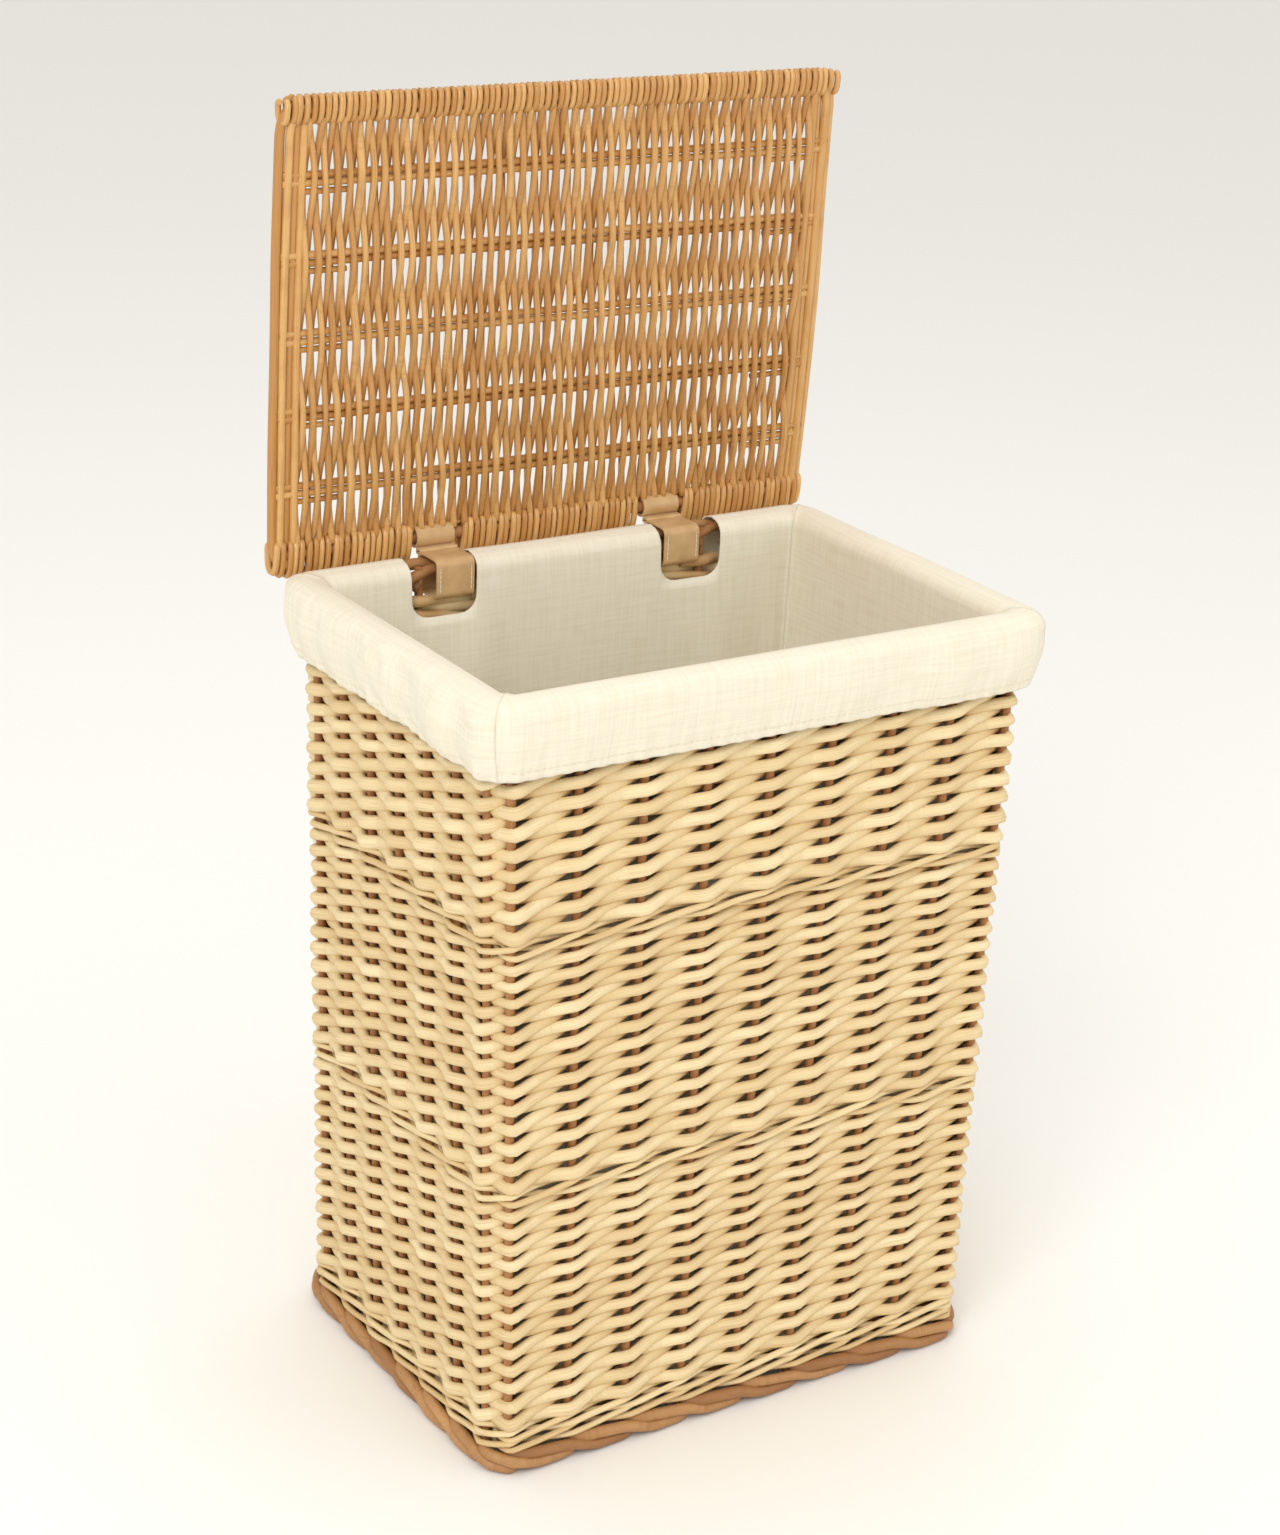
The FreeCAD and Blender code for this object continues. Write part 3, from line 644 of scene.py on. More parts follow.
@dataclass(frozen=True)
class Wall:
    """The basket's wall as a tapering rectangle of stakes.

    A place on it is a stake number, which may be a fraction and counts from the front left
    corner towards the right as seen from outside, a height, and how far out of the stakes'
    line it is. Stakes 0 to 8 are the front's, 9 to 15 the right side's, 16 to 24 the back's
    and 25 to 31 the left side's.
    """

    low: float
    high: float
    low_half: tuple[float, float]
    high_half: tuple[float, float]
    beside_strap: float  # where the back's stakes beside the straps stand
    thickness: float = 19 * MM
    wide_gap: float = 8 * MM  # from the stakes' corner to the nearest stake on a wide face
    narrow_gap: float = 18 * MM  # the same on a narrow face
    corners: tuple[int, ...] = (8, 15, 24, 31)  # the last stake before each corner
    blend: float = 0.12  # how far past those stakes the outward direction keeps turning
    sag_heights: tuple[float, ...] = (0.0, 227 * MM, 419 * MM, 560 * MM)
    sags: tuple[float, ...] = (0.0, 2.5 * MM, 4 * MM, -1.5 * MM)  # at those heights
    corner_spread: float = 1.7  # how many stakes from a corner the rows still dip

    @classmethod
    def from_frame(cls) -> "Wall":
        """Reads the wall's taper from the CAD bands at its foot and under its border.

        Returns:
            The wall.
        """
        foot_low, foot_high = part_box("upsett")
        head_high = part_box("upper_weave")[1]
        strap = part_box("strap_right")[1]
        return cls(
            foot_low.z,
            head_high.z,
            (foot_high.x, foot_high.y),
            (head_high.x, head_high.y),
            strap.x + 2 * MM + 2 * STAKE_RADIUS,
        )

    def halves(self, height: Array) -> tuple[Array, Array]:
        """Finds the wall's size, which changes evenly from foot to head.

        Args:
            height: heights above the floor.

        Returns:
            Half the wall's outside width, and half its outside depth.
        """
        share = (height - self.low) / (self.high - self.low)
        wide = self.low_half[0] + (self.high_half[0] - self.low_half[0]) * share
        deep = self.low_half[1] + (self.high_half[1] - self.low_half[1]) * share
        return wide, deep

    def cornerness(self, turn: Array) -> Array:
        """Says how near a corner is: the sum of a bell curve round each.

        Args:
            turn: stake numbers.

        Returns:
            One at a corner, and nearly nothing a few stakes from it.
        """
        total = np.zeros(turn.shape)
        for corner in self.corners:
            gap = np.mod(turn - corner - 0.5 + STAKES / 2, STAKES) - STAKES / 2
            total = total + np.exp(-((gap / self.corner_spread) ** 2))
        return total

    def sag(self, height: Array) -> Array:
        """How far the rows dip at the corners: most at the upper wale, none at the floor."""
        return np.interp(height, self.sag_heights, self.sags)

    def shares(self, turn: Array) -> list[Array]:
        """Finds where a stake number lies on the rectangle, in straight runs between stakes.

        Args:
            turn: stake numbers from 0 to STAKES + 1.

        Returns:
            How much of each length to add up: for x the half width short of the corner, the
            place beside a strap and the whole half width; for y the half depth short of the
            corner, and the rest of it.
        """
        nine, seven = np.ones(9), np.ones(7)
        past = np.array([1.0, 0.5, 0, 0, 0, 0, 0, -0.5, -1.0])
        beside = np.array([0, 0.5, 1.0, 0.5, 0, -0.5, -1.0, -0.5, 0])
        front, right = np.linspace(-1, 1, 9), np.linspace(-1, 1, 7)
        tables = (
            (front, 0 * seven, past, 0 * seven),
            (0 * nine, 0 * seven, beside, 0 * seven),
            (0 * nine, seven, 0 * nine, -seven),
            (-nine, right, nine, -right),
            (-nine, 0 * seven, nine, 0 * seven),
        )
        places = np.arange(STAKES + 2)
        rows = [np.concatenate(table) for table in tables]
        return [np.interp(turn, places, np.append(row, row[:2])) for row in rows]

    def around(self, stake: Array, height: Array, out: Array) -> tuple[Array, Array]:
        """Finds points on the wall.

        The stakes' line is straight from each stake to the next, so it cuts the corners.
        The outward direction is square to a face and turns smoothly across a corner. The
        result is the place on the line + out * that direction.

        Args:
            stake: stake numbers.
            height: heights above the floor.
            out: distances outwards from the stakes' line.

        Returns:
            The points and the outward directions, each with a last axis of 3.
        """
        stake, height, out = np.broadcast_arrays(stake, height, out)
        wide, deep = self.halves(height)
        wide = wide - self.thickness / 2 - self.wide_gap
        deep = deep - self.thickness / 2 - self.narrow_gap
        turn = np.mod(stake - 1, STAKES) + 1
        short_x, strap_x, whole_x, short_y, rest_y = self.shares(turn)
        x = short_x * wide + strap_x * self.beside_strap + whole_x * (wide + self.wide_gap)
        y = short_y * deep + rest_y * self.narrow_gap
        angle = np.full(turn.shape, -math.pi / 2)
        for corner in self.corners:
            share = np.clip((turn - corner + self.blend) / (1 + 2 * self.blend), 0, 1)
            angle = angle + math.pi / 2 * share * share * (3 - 2 * share)
        away = np.stack([np.cos(angle), np.sin(angle), np.zeros(turn.shape)], axis=-1)
        z = height - self.sag(height) * self.cornerness(turn)
        return np.stack([x, y, z], axis=-1) + out[..., None] * away, away


def wander(rng: np.random.Generator, rods: int, stations: int, size: float, knots: int) -> Array:
    """Slow random drift along each rod: a few random values joined by a smooth curve.

    Args:
        rng: a seeded generator.
        rods: how many rods.
        stations: points along each rod.
        size: the drift's usual size.
        knots: how many random values each rod has.

    Returns:
        rods x stations.
    """
    values = rng.normal(0, size, (rods, knots))
    place = np.linspace(0, knots - 1.001, stations)
    index = place.astype(int)
    share = place - index
    smooth = share * share * (3 - 2 * share)
    return values[:, index] * (1 - smooth) + values[:, index + 1] * smooth


# --- the body ------------------------------------------------------------------------------


@dataclass(frozen=True)
class Randing:
    """A band of French randing: a rod starts at every stake and all of them climb together.

    Each rod passes in front of one stake and behind the next. It climbs steeply as it goes
    in and hardly at all as it comes out, and gains one row in two stakes.
    """

    node: str
    rows: int
    first_pitch: float
    last_pitch: float
    butt: float
    tip: float
    seed: int
    steep: float = 0.11  # extra climb on the way in, as a share of a row
    late: float = 0.07  # the rod kinks upwards just after it has crossed a stake
    tight: float = 1.7  # over one, rods lie flat between stakes and bend close round them
    kink: float = 0.985  # how sharply they bend
    press: float = 0.6  # how far a rod stands off its stake, as a share of its radius
    flat: float = 0.78  # rods are pressed thinner than they are tall
    wobble: float = 0.45 * MM
    spare: float = 0.35  # room left over the last row, as a share of a row
    stations_per_stake: int = 10
    sides: int = 8

    def heights(self, passed: Array, room: float) -> Array:
        """Says how far each rod has climbed after passing a number of stakes.

        Rows get closer as the rods get thinner, so the climb is a square law in the row
        number, scaled so that the last row ends under the room's top; the kinked wave makes
        it uneven.

        Args:
            passed: numbers of stakes passed.
            room: how high the last row ends.

        Returns:
            Heights above the first row.
        """
        row = passed / 2
        change = (self.last_pitch - self.first_pitch) / (2 * self.rows)
        climb = self.first_pitch * row + change * row * row
        last = self.rows - 1 + self.spare
        full = self.first_pitch * last + change * last**2
        pitch = self.first_pitch + 2 * change * row
        uneven = self.steep / 2 * pitch * (1 - kinked(passed - self.late))
        return (climb + uneven) * room / full

    def build(self, wall: Wall) -> bpy.types.Object:
        """Weaves the band between the heights of its CAD node.

        A rod's distance from the stakes' line is the kinked wave's power, times the swing.

        Args:
            wall: where the stakes stand.

        Returns:
            The band's rods.
        """
        low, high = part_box(self.node)
        rng = np.random.default_rng(self.seed)
        last = 2 * self.rows - 0.7
        stations = int((last + 1) * self.stations_per_stake)
        passed = np.linspace(-0.75, last, stations)[None, :]
        start = np.arange(STAKES)[:, None]
        share = np.clip(passed / last, 0, 1)
        radius = (self.butt + (self.tip - self.butt) * share) / 2
        radius = radius * (1 + rng.normal(0, 0.05, (STAKES, 1)))
        room = high.z - low.z - (self.butt + self.tip) / 2
        height = low.z + self.butt / 2 + self.heights(passed, room)
        height = height + wander(rng, STAKES, stations, self.wobble, 3 * self.rows)
        height = np.clip(height, low.z + radius * 0.9, high.z - radius * 0.9)
        swing = STAKE_RADIUS + self.press * radius
        wave = kinked(passed, self.kink)
        bent = np.sign(wave) * np.abs(wave) ** self.tight
        out = swing * bent + wander(rng, STAKES, stations, 0.2 * MM, 2 * self.rows)
        paths, away = wall.around(start + passed, height, out)
        # Painted shade: a rod is coloured browner where it runs behind the stakes' line, standing
        # in for the shade there; the random part is each rod's own colour.
        behind = np.clip(0.05 - bent, 0, 1) ** 0.6
        tone = 0.8 * rng.random((STAKES, 1)) + 1.6 * behind
        radius = np.broadcast_to(radius, height.shape)
        skin = sweep(paths, radius, away, self.sides, tone, self.flat)
        return mesh_object(f"{self.node}_rods", skin)


@dataclass(frozen=True)
class Waling:
    """Rounds of three-rod wale: each rod runs in front of two stakes and behind the third.

    Outside it rises from under its neighbours to above them, which looks like a rope.
    """

    node: str
    rounds: int
    diameter: float
    seed: int
    first_stake: float = 19.4  # where the rods begin and end, on the back
    rise: float = 0.85  # how far a rod rises and falls, as a share of its diameter
    proud: float = 0.6 * MM
    sides: int = 8

    def build(self, wall: Wall) -> bpy.types.Object:
        """Weaves the rounds, one above the other, in the height of the CAD node.

        Over three stakes a rod goes out as minus a cosine, held level in front of two of
        them, and up and down as minus a sine.

        Args:
            wall: where the stakes stand.

        Returns:
            The rods.
        """
        low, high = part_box(self.node)
        rng = np.random.default_rng(self.seed)
        skins = []
        tall = (high.z - low.z) / self.rounds
        stations = 33 * 10
        passed = np.linspace(0, 33, stations)[None, :]
        for number in range(self.rounds):
            first = self.first_stake + np.arange(3)[:, None] + 5 * number
            phase = 2 * math.pi * passed / 3
            swing = STAKE_RADIUS + self.diameter / 2
            out = swing * np.clip(0.25 - 1.3 * np.cos(phase), -1, 1.0) + self.proud
            middle = low.z + tall * (number + 0.5)
            height = middle - self.rise * self.diameter * np.sin(phase)
            height = height + wander(rng, 3, stations, 0.5 * MM, 60)
            radius = self.diameter / 2 * (1 + wander(rng, 3, stations, 0.06, 12))
            whole = math.ceil(self.first_stake)
            paths, away = wall.around(first - self.first_stake + whole + passed, height, out)
            skins.append(sweep(paths, radius, away, self.sides, rng.random(3)))
        return mesh_object(f"{self.node}_rods", joined(skins))


@dataclass(frozen=True)
class RolledBorder:
    """A rolled border: every stake's end bends over, runs past two more and turns inside.

    Height above the ring's low side and distance out of the stakes' line are smooth curves
    through a few places, given in millimetres, at numbers of stakes passed.
    """

    node: str
    diameter: float
    passed: tuple[float, ...]
    heights: tuple[float, ...]
    outs: tuple[float, ...]
    seed: int
    sides: int = 10
    stations: int = 40
    softening: int = 3  # how often each path's bends are evened out
    wobble: float = 0.35 * MM

    def build(self, wall: Wall) -> bpy.types.Object:
        """Lays a stroke from each stake; both its ends, where it tucks under its neighbours, are
        painted browner as shade.

        Args:
            wall: where the stakes stand.

        Returns:
            The strokes.
        """
        low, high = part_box(self.node)
        rng = np.random.default_rng(self.seed)
        run = np.linspace(self.passed[0], self.passed[-1], self.stations)[None, :]
        height = low.z + np.interp(run, self.passed, self.heights) * MM
        out = np.interp(run, self.passed, self.outs) * MM
        height = height + wander(rng, STAKES, self.stations, self.wobble, 4)
        out = out + wander(rng, STAKES, self.stations, self.wobble, 4)
        paths, away = wall.around(np.arange(STAKES)[:, None] + run, height, out)
        for _ in range(self.softening):
            inner = (paths[:, :-2] + 2 * paths[:, 1:-1] + paths[:, 2:]) / 4
            paths = np.concatenate([paths[:, :1], inner, paths[:, -1:]], axis=1)
        share = (run - run[0, 0]) / np.ptp(run)
        thick = self.diameter / 2 * (1.03 - 0.15 * share) * (1 + rng.normal(0, 0.05, (STAKES, 1)))
        paths[..., 2] = np.clip(paths[..., 2], low.z + thick, high.z - thick * 0.9)
        # Painted shade: both ends of each stroke, where it dips under its neighbours, are coloured
        # browner; the random part is each rod's own colour.
        ends = np.exp(-share / 0.07) + np.exp(-(1 - share) / 0.12)
        tone = rng.random((STAKES, 1)) + 1.2 * ends
        skin = sweep(paths, thick, away, self.sides, tone)
        return mesh_object(f"{self.node}_rods", skin)


@dataclass(frozen=True)
class BaseWeave:
    """The base: thin rods that run from front to back over and under the base's sticks."""

    pitch: float = 6.2 * MM
    diameter: float = 5.6 * MM
    sticks: int = 7
    kept_in: float = 0.52  # how far inside the CAD slab a rod's middle stays, in diameters

    def build(self) -> bpy.types.Object:
        """Weaves the base across the sticks; neighbours pass on opposite sides.

        Returns:
            The base's rods.
        """
        low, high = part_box("base_weave")
        stick_low, stick_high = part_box("base_sticks")
        rng = np.random.default_rng(5)
        count = int((high.x - low.x) / self.pitch)
        stations = 6 * self.sticks + 8
        x = np.linspace(low.x + self.pitch / 2, high.x - self.pitch / 2, count)[:, None]
        y = np.linspace(low.y + 1 * MM, high.y - 1 * MM, stations)[None, :]
        gap = (high.y - low.y) / self.sticks
        phase = (y - low.y) / gap - 0.5
        side = np.where(np.arange(count) % 2 == 0, 1, -1)[:, None]
        swing = (high.z - low.z) / 2 - self.kept_in * self.diameter
        middle = (stick_low.z + stick_high.z) / 2
        z = middle + side * swing * kinked(phase, 0.9)
        x = x + wander(rng, count, stations, 0.4 * MM, 8)
        paths = np.stack(np.broadcast_arrays(x, y, z), axis=-1)
        radius = np.full((count, stations), self.diameter / 2)
        skin = sweep(paths, radius, np.array([0.0, 0.0, 1.0]), 7, rng.random(count))
        return mesh_object("base_rods", skin)


@dataclass(frozen=True)
class Body:
    """The woven body: foot, upsett, three bands of randing, two wales, border and base."""

    bands: tuple[Randing, ...] = (
        Randing("lower_weave", 13, 15.5 * MM, 12.6 * MM, 9.9 * MM, 8.4 * MM, 11),
        Randing("middle_weave", 13, 15.6 * MM, 11.8 * MM, 10.0 * MM, 7.9 * MM, 12),
        Randing("upper_weave", 10, 15.2 * MM, 14.4 * MM, 10.1 * MM, 9.4 * MM, 13, spare=0.45),
    )
    wales: tuple[Waling, ...] = (
        Waling("upsett", 2, 4.6 * MM, 21),
        Waling("lower_wale", 1, 4.8 * MM, 22),
        Waling("upper_wale", 1, 4.8 * MM, 23),
    )
    foot: RolledBorder = RolledBorder(
        "foot_border", 9.2 * MM,
        (0.0, 0.12, 0.3, 0.95, 1.4, 1.95, 2.25),
        (24.0, 18.5, 14.2, 12.2, 5.6, 4.8, 5.4),
        (0.0, 4.5, 7.2, 8.6, 8.8, 6.6, -3.0), 31,
    )
    rim: RolledBorder = RolledBorder(
        "top_border", 8.6 * MM,
        (0.0, 0.15, 0.4, 1.0, 1.7, 2.3, 2.6),
        (4.0, 9.0, 16.0, 21.0, 20.0, 13.0, 6.0),
        (-2.0, 4.0, 10.0, 9.0, 1.0, -4.0, -4.5), 32,
    )
    base: BaseWeave = BaseWeave()

    def build(self, wall: Wall) -> None:
        """Builds and dresses every woven piece of the body.

        Args:
            wall: where the stakes stand.
        """
        for band in self.bands:
            dress(band.build(wall), Finish.WHITE_WILLOW, "white_willow", "basket", band.node)
        for wale in self.wales:
            dress(wale.build(wall), Finish.THIN_WILLOW, "white_willow", "basket", wale.node)
        for border in (self.foot, self.rim):
            dress(border.build(wall), Finish.BUFF_WILLOW, "buff_willow", "basket", border.node)
        dress(self.base.build(), Finish.BUFF_WILLOW, "buff_willow", "basket", "base_weave")


# --- the liner -----------------------------------------------------------------------------


@dataclass(frozen=True)
class Folds:
    """Soft folds in cloth: ridges of a bell shape that lean, widen and fade along the drop."""

    count: int
    height: float
    width: float
    lean: float
    seed: int

    def at(self, across: Array, drop: Array, half: float) -> Array:
        """How far out the folds push the cloth.

        Args:
            across: places along the panel, in metres from its middle.
            drop: 0 where the folds begin to 1 at their free end.
            half: half the panel's width.

        Returns:
            The height of the folds.
        """
        rng = np.random.default_rng(self.seed)
        total = np.zeros(np.broadcast(across, drop).shape)
        for _ in range(self.count):
            centre = rng.uniform(-half, half) + rng.normal(0, self.lean) * drop
            width = self.width * rng.uniform(0.6, 1.6) * (0.6 + 0.6 * drop)
            peak = self.height * rng.uniform(0.3, 1.0) * rng.choice([1, 1, -0.7])
            total = total + peak * np.exp(-(((across - centre) / width) ** 2)) * drop
        return total


@dataclass(frozen=True)
class Panel:
    """One side panel of the liner, from the bag's floor up, over the rim and down the cuff."""

    name: str
    side: int  # 0 front, 1 right, 2 back, 3 left
    cuff_folds: Folds
    bag_folds: Folds
    columns: int


@dataclass(frozen=True)
class Liner:
    """The calico liner: four side panels and a bottom, folded over the border into a cuff."""

    cloth: float = 0.8 * MM
    bag_inside: float = 21.2 * MM  # from the wall's outside to the bag
    bag_corner: float = 6 * MM
    rim_corner: float = 26 * MM
    cuff_drop: float = 55 * MM
    roll: float = 12 * MM  # radius of the fold over the rim
    rim_proud: float = 8.4 * MM  # how far the cuff stands out of the wall at the rim
    hem_proud: float = 2.2 * MM  # the same at the hem
    crown: float = 0.7 * MM  # how much the rim rises between its two bends
    unevenness: float = 0.4 * MM
    gather: float = 0.45 * MM  # how high the hem's fine gathers are
    gather_pitch: float = 2.3 * MM  # over 2 pi
    notch_width: float = 54 * MM
    notch_depth: float = 42 * MM
    notch_corner: float = 14 * MM
    beside: float = 2 * MM  # room between a notch's side and its strap
    seam_height: float = 0.9 * MM
    seam_width: float = 2.2 * MM
    least_cuff: float = -1.4 * MM  # folds may not press into the border
    hem: float = 9 * MM  # from the stitches to the cuff's edge
    stitch: float = 5.5 * MM
    panels: tuple[Panel, ...] = (
        Panel("liner_front", 0, Folds(18, 2.0 * MM, 15 * MM, 10 * MM, 41),
              Folds(4, 4 * MM, 40 * MM, 10 * MM, 51), 220),
        Panel("liner_right", 1, Folds(16, 1.8 * MM, 12 * MM, 8 * MM, 42),
              Folds(3, 4 * MM, 34 * MM, 10 * MM, 52), 150),
        Panel("liner_back", 2, Folds(16, 1.6 * MM, 14 * MM, 8 * MM, 43),
              Folds(8, 9 * MM, 20 * MM, 24 * MM, 53), 220),
        Panel("liner_left", 3, Folds(26, 4.8 * MM, 12 * MM, 20 * MM, 44),
              Folds(3, 4 * MM, 34 * MM, 10 * MM, 54), 150),
    )

    def profile(self) -> tuple[Array, Array, Array, Array]:
        """The liner's section through a side, from the bag's floor to the cuff's hem.

        Returns:
            How far out of the wall's outside it is, its height, the share of the way from
            bag to rim (for the corner's radius), and the length along the section.
        """
        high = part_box("liner_front")[1]
        border_low, border_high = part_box("top_border")
        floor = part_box("liner_bottom")[1].z
        inside, proud = -self.bag_inside, self.rim_proud
        top = high.z - self.cloth / 2
        turn = np.linspace(0, math.pi / 2, 8)
        up = np.linspace(floor, top - self.roll, 30)
        rise = (np.full(up.shape, inside), up)
        over_in = (inside + self.roll * (1 - np.cos(turn)), top - self.roll * (1 - np.sin(turn)))
        flat = np.linspace(inside + self.roll, proud - self.roll, 4)[1:-1]
        over_flat = (flat, np.full(flat.shape, top + self.crown))
        over_out = (proud - self.roll * (1 - np.sin(turn)), top - self.roll * (1 - np.cos(turn)))
        hem = border_high.z - self.cuff_drop
        down = np.linspace(top - self.roll, hem, 26)[1:]
        fall = np.clip((border_low.z - down) / (border_low.z - hem), 0, 1)
        over_cuff = (proud - (proud - self.hem_proud) * fall**1.2, down)
        parts = [rise, (over_in[0][1:], over_in[1][1:]), over_flat, over_out, over_cuff]
        out, height = (np.concatenate([part[axis] for part in parts]) for axis in (0, 1))
        steps = np.hypot(np.diff(out), np.diff(height))
        length = np.concatenate([[0], np.cumsum(steps)])
        share = np.clip((out - inside) / (proud - inside), 0, 1)
        return out, height, share, length

    def panel_surface(self, wall: Wall, panel: Panel) -> tuple[Array, Array]:
        """Lays one panel round its side.

        A row of the grid runs along the wall's rounded rectangle at the section's height
        and distance out, from one corner seam to the next; the folds push it along the
        section's own normal.

        Args:
            wall: the wall that the liner hangs in.
            panel: which side, and its folds.

        Returns:
            The surface and each point's place on the flat cloth.
        """
        out, height, share, length = self.profile()
        wide, deep = wall.halves(np.minimum(height, wall.high))
        along, off = (wide, deep) if panel.side % 2 == 0 else (deep, wide)
        along, off = along + out, off + out
        radius = self.bag_corner + (self.rim_corner - self.bag_corner) * share
        edge = np.linspace(-1, 1, panel.columns)[None, :]
        quarter = (math.pi / 4) * radius
        reach = (along - radius + quarter)[:, None]
        run = edge * reach
        straight = np.clip(run, -(along - radius)[:, None], (along - radius)[:, None])
        bend = (run - straight) / radius[:, None]
        x = straight + radius[:, None] * np.sin(bend)
        y = -(off - radius)[:, None] - radius[:, None] * np.cos(bend)
        normal = np.stack([np.sin(bend), -np.cos(bend), 0 * bend], axis=-1)
        slope = unit(np.gradient(np.stack([out, height], axis=-1), axis=0))
        outward = slope[:, 1][:, None, None] * normal
        upward = -slope[:, 0][:, None, None] * np.array([0.0, 0.0, 1.0])
        face = unit(outward + upward)
        uneven = self.unevenness * (1 + np.sin(run / (29 * MM) + 2 * panel.side)) * share[:, None]
        surface = np.stack([x, y, height[:, None] + uneven], axis=-1)
        cuff_from = length[-1] - self.cuff_drop
        drop = np.clip((length - cuff_from) / self.cuff_drop, 0, 1)[:, None]
        bag_top = length[29]
        bag = np.clip(np.sin(math.pi * np.clip(length / bag_top, 0, 1)), 0, 1)[:, None]
        half = float(along.mean())
        calm = np.clip((1 - np.abs(edge)) * half / (12 * MM), 0, 1)
        loose = 3.2 * drop * (1.1 - drop)  # the cuff bulges most half way down
        cuff = panel.cuff_folds.at(run, loose, half) * calm
        drift = 2 * np.sin(run / (31 * MM))  # the gathers are closer in some places
        cuff = cuff + self.gather * np.sin(run / self.gather_pitch + drift) * drop**2 * calm
        inner = panel.bag_folds.at(run, bag, half) * calm
        from_seam = (1 - np.abs(edge)) * half
        seam = np.exp(-((from_seam / self.seam_width) ** 2)) * self.seam_height
        surface = surface - face * (np.maximum(cuff, self.least_cuff) + seam)[..., None]
        surface = surface - face * np.broadcast_to(np.abs(inner), x.shape)[..., None]
        turn = Matrix.Rotation(panel.side * math.pi / 2, 3, "Z")
        surface = surface @ np.array(turn).T
        flat = np.stack(np.broadcast_arrays(run, length[:, None]), axis=-1)
        return surface, flat

    def build(self, wall: Wall) -> None:
        """The bottom's height is a sine along it times a squared cosine across it, eased to
        nothing at the edges.

        Args:
            wall: the wall that the liner hangs in.
        """
        for panel in self.panels:
            surface, flat = self.panel_surface(wall, panel)
            piece = mesh_object(f"{panel.name}_cloth", sheet_skin(surface, flat))
            self.thicken(piece)
            if panel.side == 2:
                self.cut_notches(piece)
            dress(piece, Finish.CALICO, "cotton_calico", "basket", panel.name)
            stitches = self.stitches(panel, surface, flat)
            dress(stitches, Finish.THREAD, "cotton_calico", "basket")
        low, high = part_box("liner_bottom")
        x, y = np.meshgrid(np.linspace(low.x, high.x, 60), np.linspace(low.y, high.y, 40))
        ease = np.minimum(1, np.minimum(high.x - np.abs(x), high.y - np.abs(y)) / (30 * MM))
        waves = np.sin(x / (31 * MM)) * np.cos(y / (27 * MM)) ** 2
        z = high.z - 0.5 * MM + 1.5 * MM * ease * waves
        surface = np.stack([x, y, z], axis=-1)
        piece = mesh_object("liner_bottom_cloth", sheet_skin(surface, np.stack([x, y], axis=-1)))
        self.thicken(piece)
        dress(piece, Finish.CALICO, "cotton_calico", "basket", "liner_bottom")
        flat = (high.x - low.x, high.y - low.y)

    def stitches(self, panel: Panel, surface: Array, flat: Array) -> bpy.types.Object:
        """Runs a thread along the cuff's hem, above the cloth and below it in turn.

        The path is the cloth's row at the hem + its outward direction * a cosine of the
        length along the row.

        Args:
            panel: the panel that is hemmed.
            surface: the panel's grid.
            flat: each grid point's place on the flat cloth.

        Returns:
            The thread.
        """
        row = int(np.searchsorted(flat[:, 0, 1], flat[-1, 0, 1] - self.hem))
        line, place = surface[row], flat[row, :, 0]
        run = np.arange(place[0] + self.hem, place[-1] - self.hem, self.stitch / 6)
        path = np.stack([np.interp(run, place, line[:, axis]) for axis in range(3)], axis=-1)
        turn = (panel.side - 1) * math.pi / 2
        away = np.array([math.cos(turn), math.sin(turn), 0.0])
        lift = self.cloth / 2 + 0.35 * MM * np.cos(2 * math.pi * run / self.stitch)
        path = path + lift[:, None] * away
        thick = np.full((1, len(run)), 0.4 * MM)
        skin = sweep(path[None], thick, away, 5, np.array([0.5]))
        return mesh_object(f"{panel.name}_hem_thread", skin)

    def thicken(self, piece: bpy.types.Object) -> None:
        """Gives a sheet its thickness, half to each side.

        Args:
            piece: the sheet.
        """
        solid = piece.modifiers.new("thickness", "SOLIDIFY")
        solid.thickness = self.cloth
        solid.offset = 0.0

    def cut_notches(self, piece: bpy.types.Object) -> None:
        """Cuts a round-bottomed notch in the back panel beside each strap.

        Args:
            piece: the back panel; its modifiers are applied.
        """
        for name, sign in (("strap_left", -1), ("strap_right", 1)):
            low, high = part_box(name)
            half, deep, corner = self.notch_width / 2, self.notch_depth, self.notch_corner
            middle = sign * (min(abs(low.x), abs(high.x)) - self.beside + half)
            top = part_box("liner_back")[1].z
            turn = np.linspace(0, math.pi / 2, 7)
            right = np.stack([half - corner + corner * np.sin(turn),
                              -deep + corner - corner * np.cos(turn)], axis=-1)
            left = right[::-1] * [-1, 1]
            over = half + 2 * MM
            outline = np.concatenate([left, right, [[over, 30 * MM], [-over, 30 * MM]]])
            count = len(outline)
            points = np.concatenate([
                np.column_stack([middle + outline[:, 0], np.full(count, y), top + outline[:, 1]])
                for y in (90 * MM, 200 * MM)
            ])
            side = [(i + count, (i + 1) % count + count, (i + 1) % count, i) for i in range(count)]
            faces = [tuple(range(count)), tuple(range(count, 2 * count))[::-1], *side]
            mesh = bpy.data.meshes.new("notch_cutter")
            mesh.from_pydata(points.tolist(), [], faces)
            cutter = bpy.data.objects.new("notch_cutter", mesh)
            bpy.context.scene.collection.objects.link(cutter)
            cut = piece.modifiers.new("notch", "BOOLEAN")
            cut.operation = "DIFFERENCE"
            cut.object = cutter
            with bpy.context.temp_override(object=piece, active_object=piece):
                for modifier in list(piece.modifiers):
                    bpy.ops.object.modifier_apply(modifier=modifier.name)
            bpy.data.objects.remove(cutter)
            bpy.data.meshes.remove(mesh)


# --- the straps ----------------------------------------------------------------------------


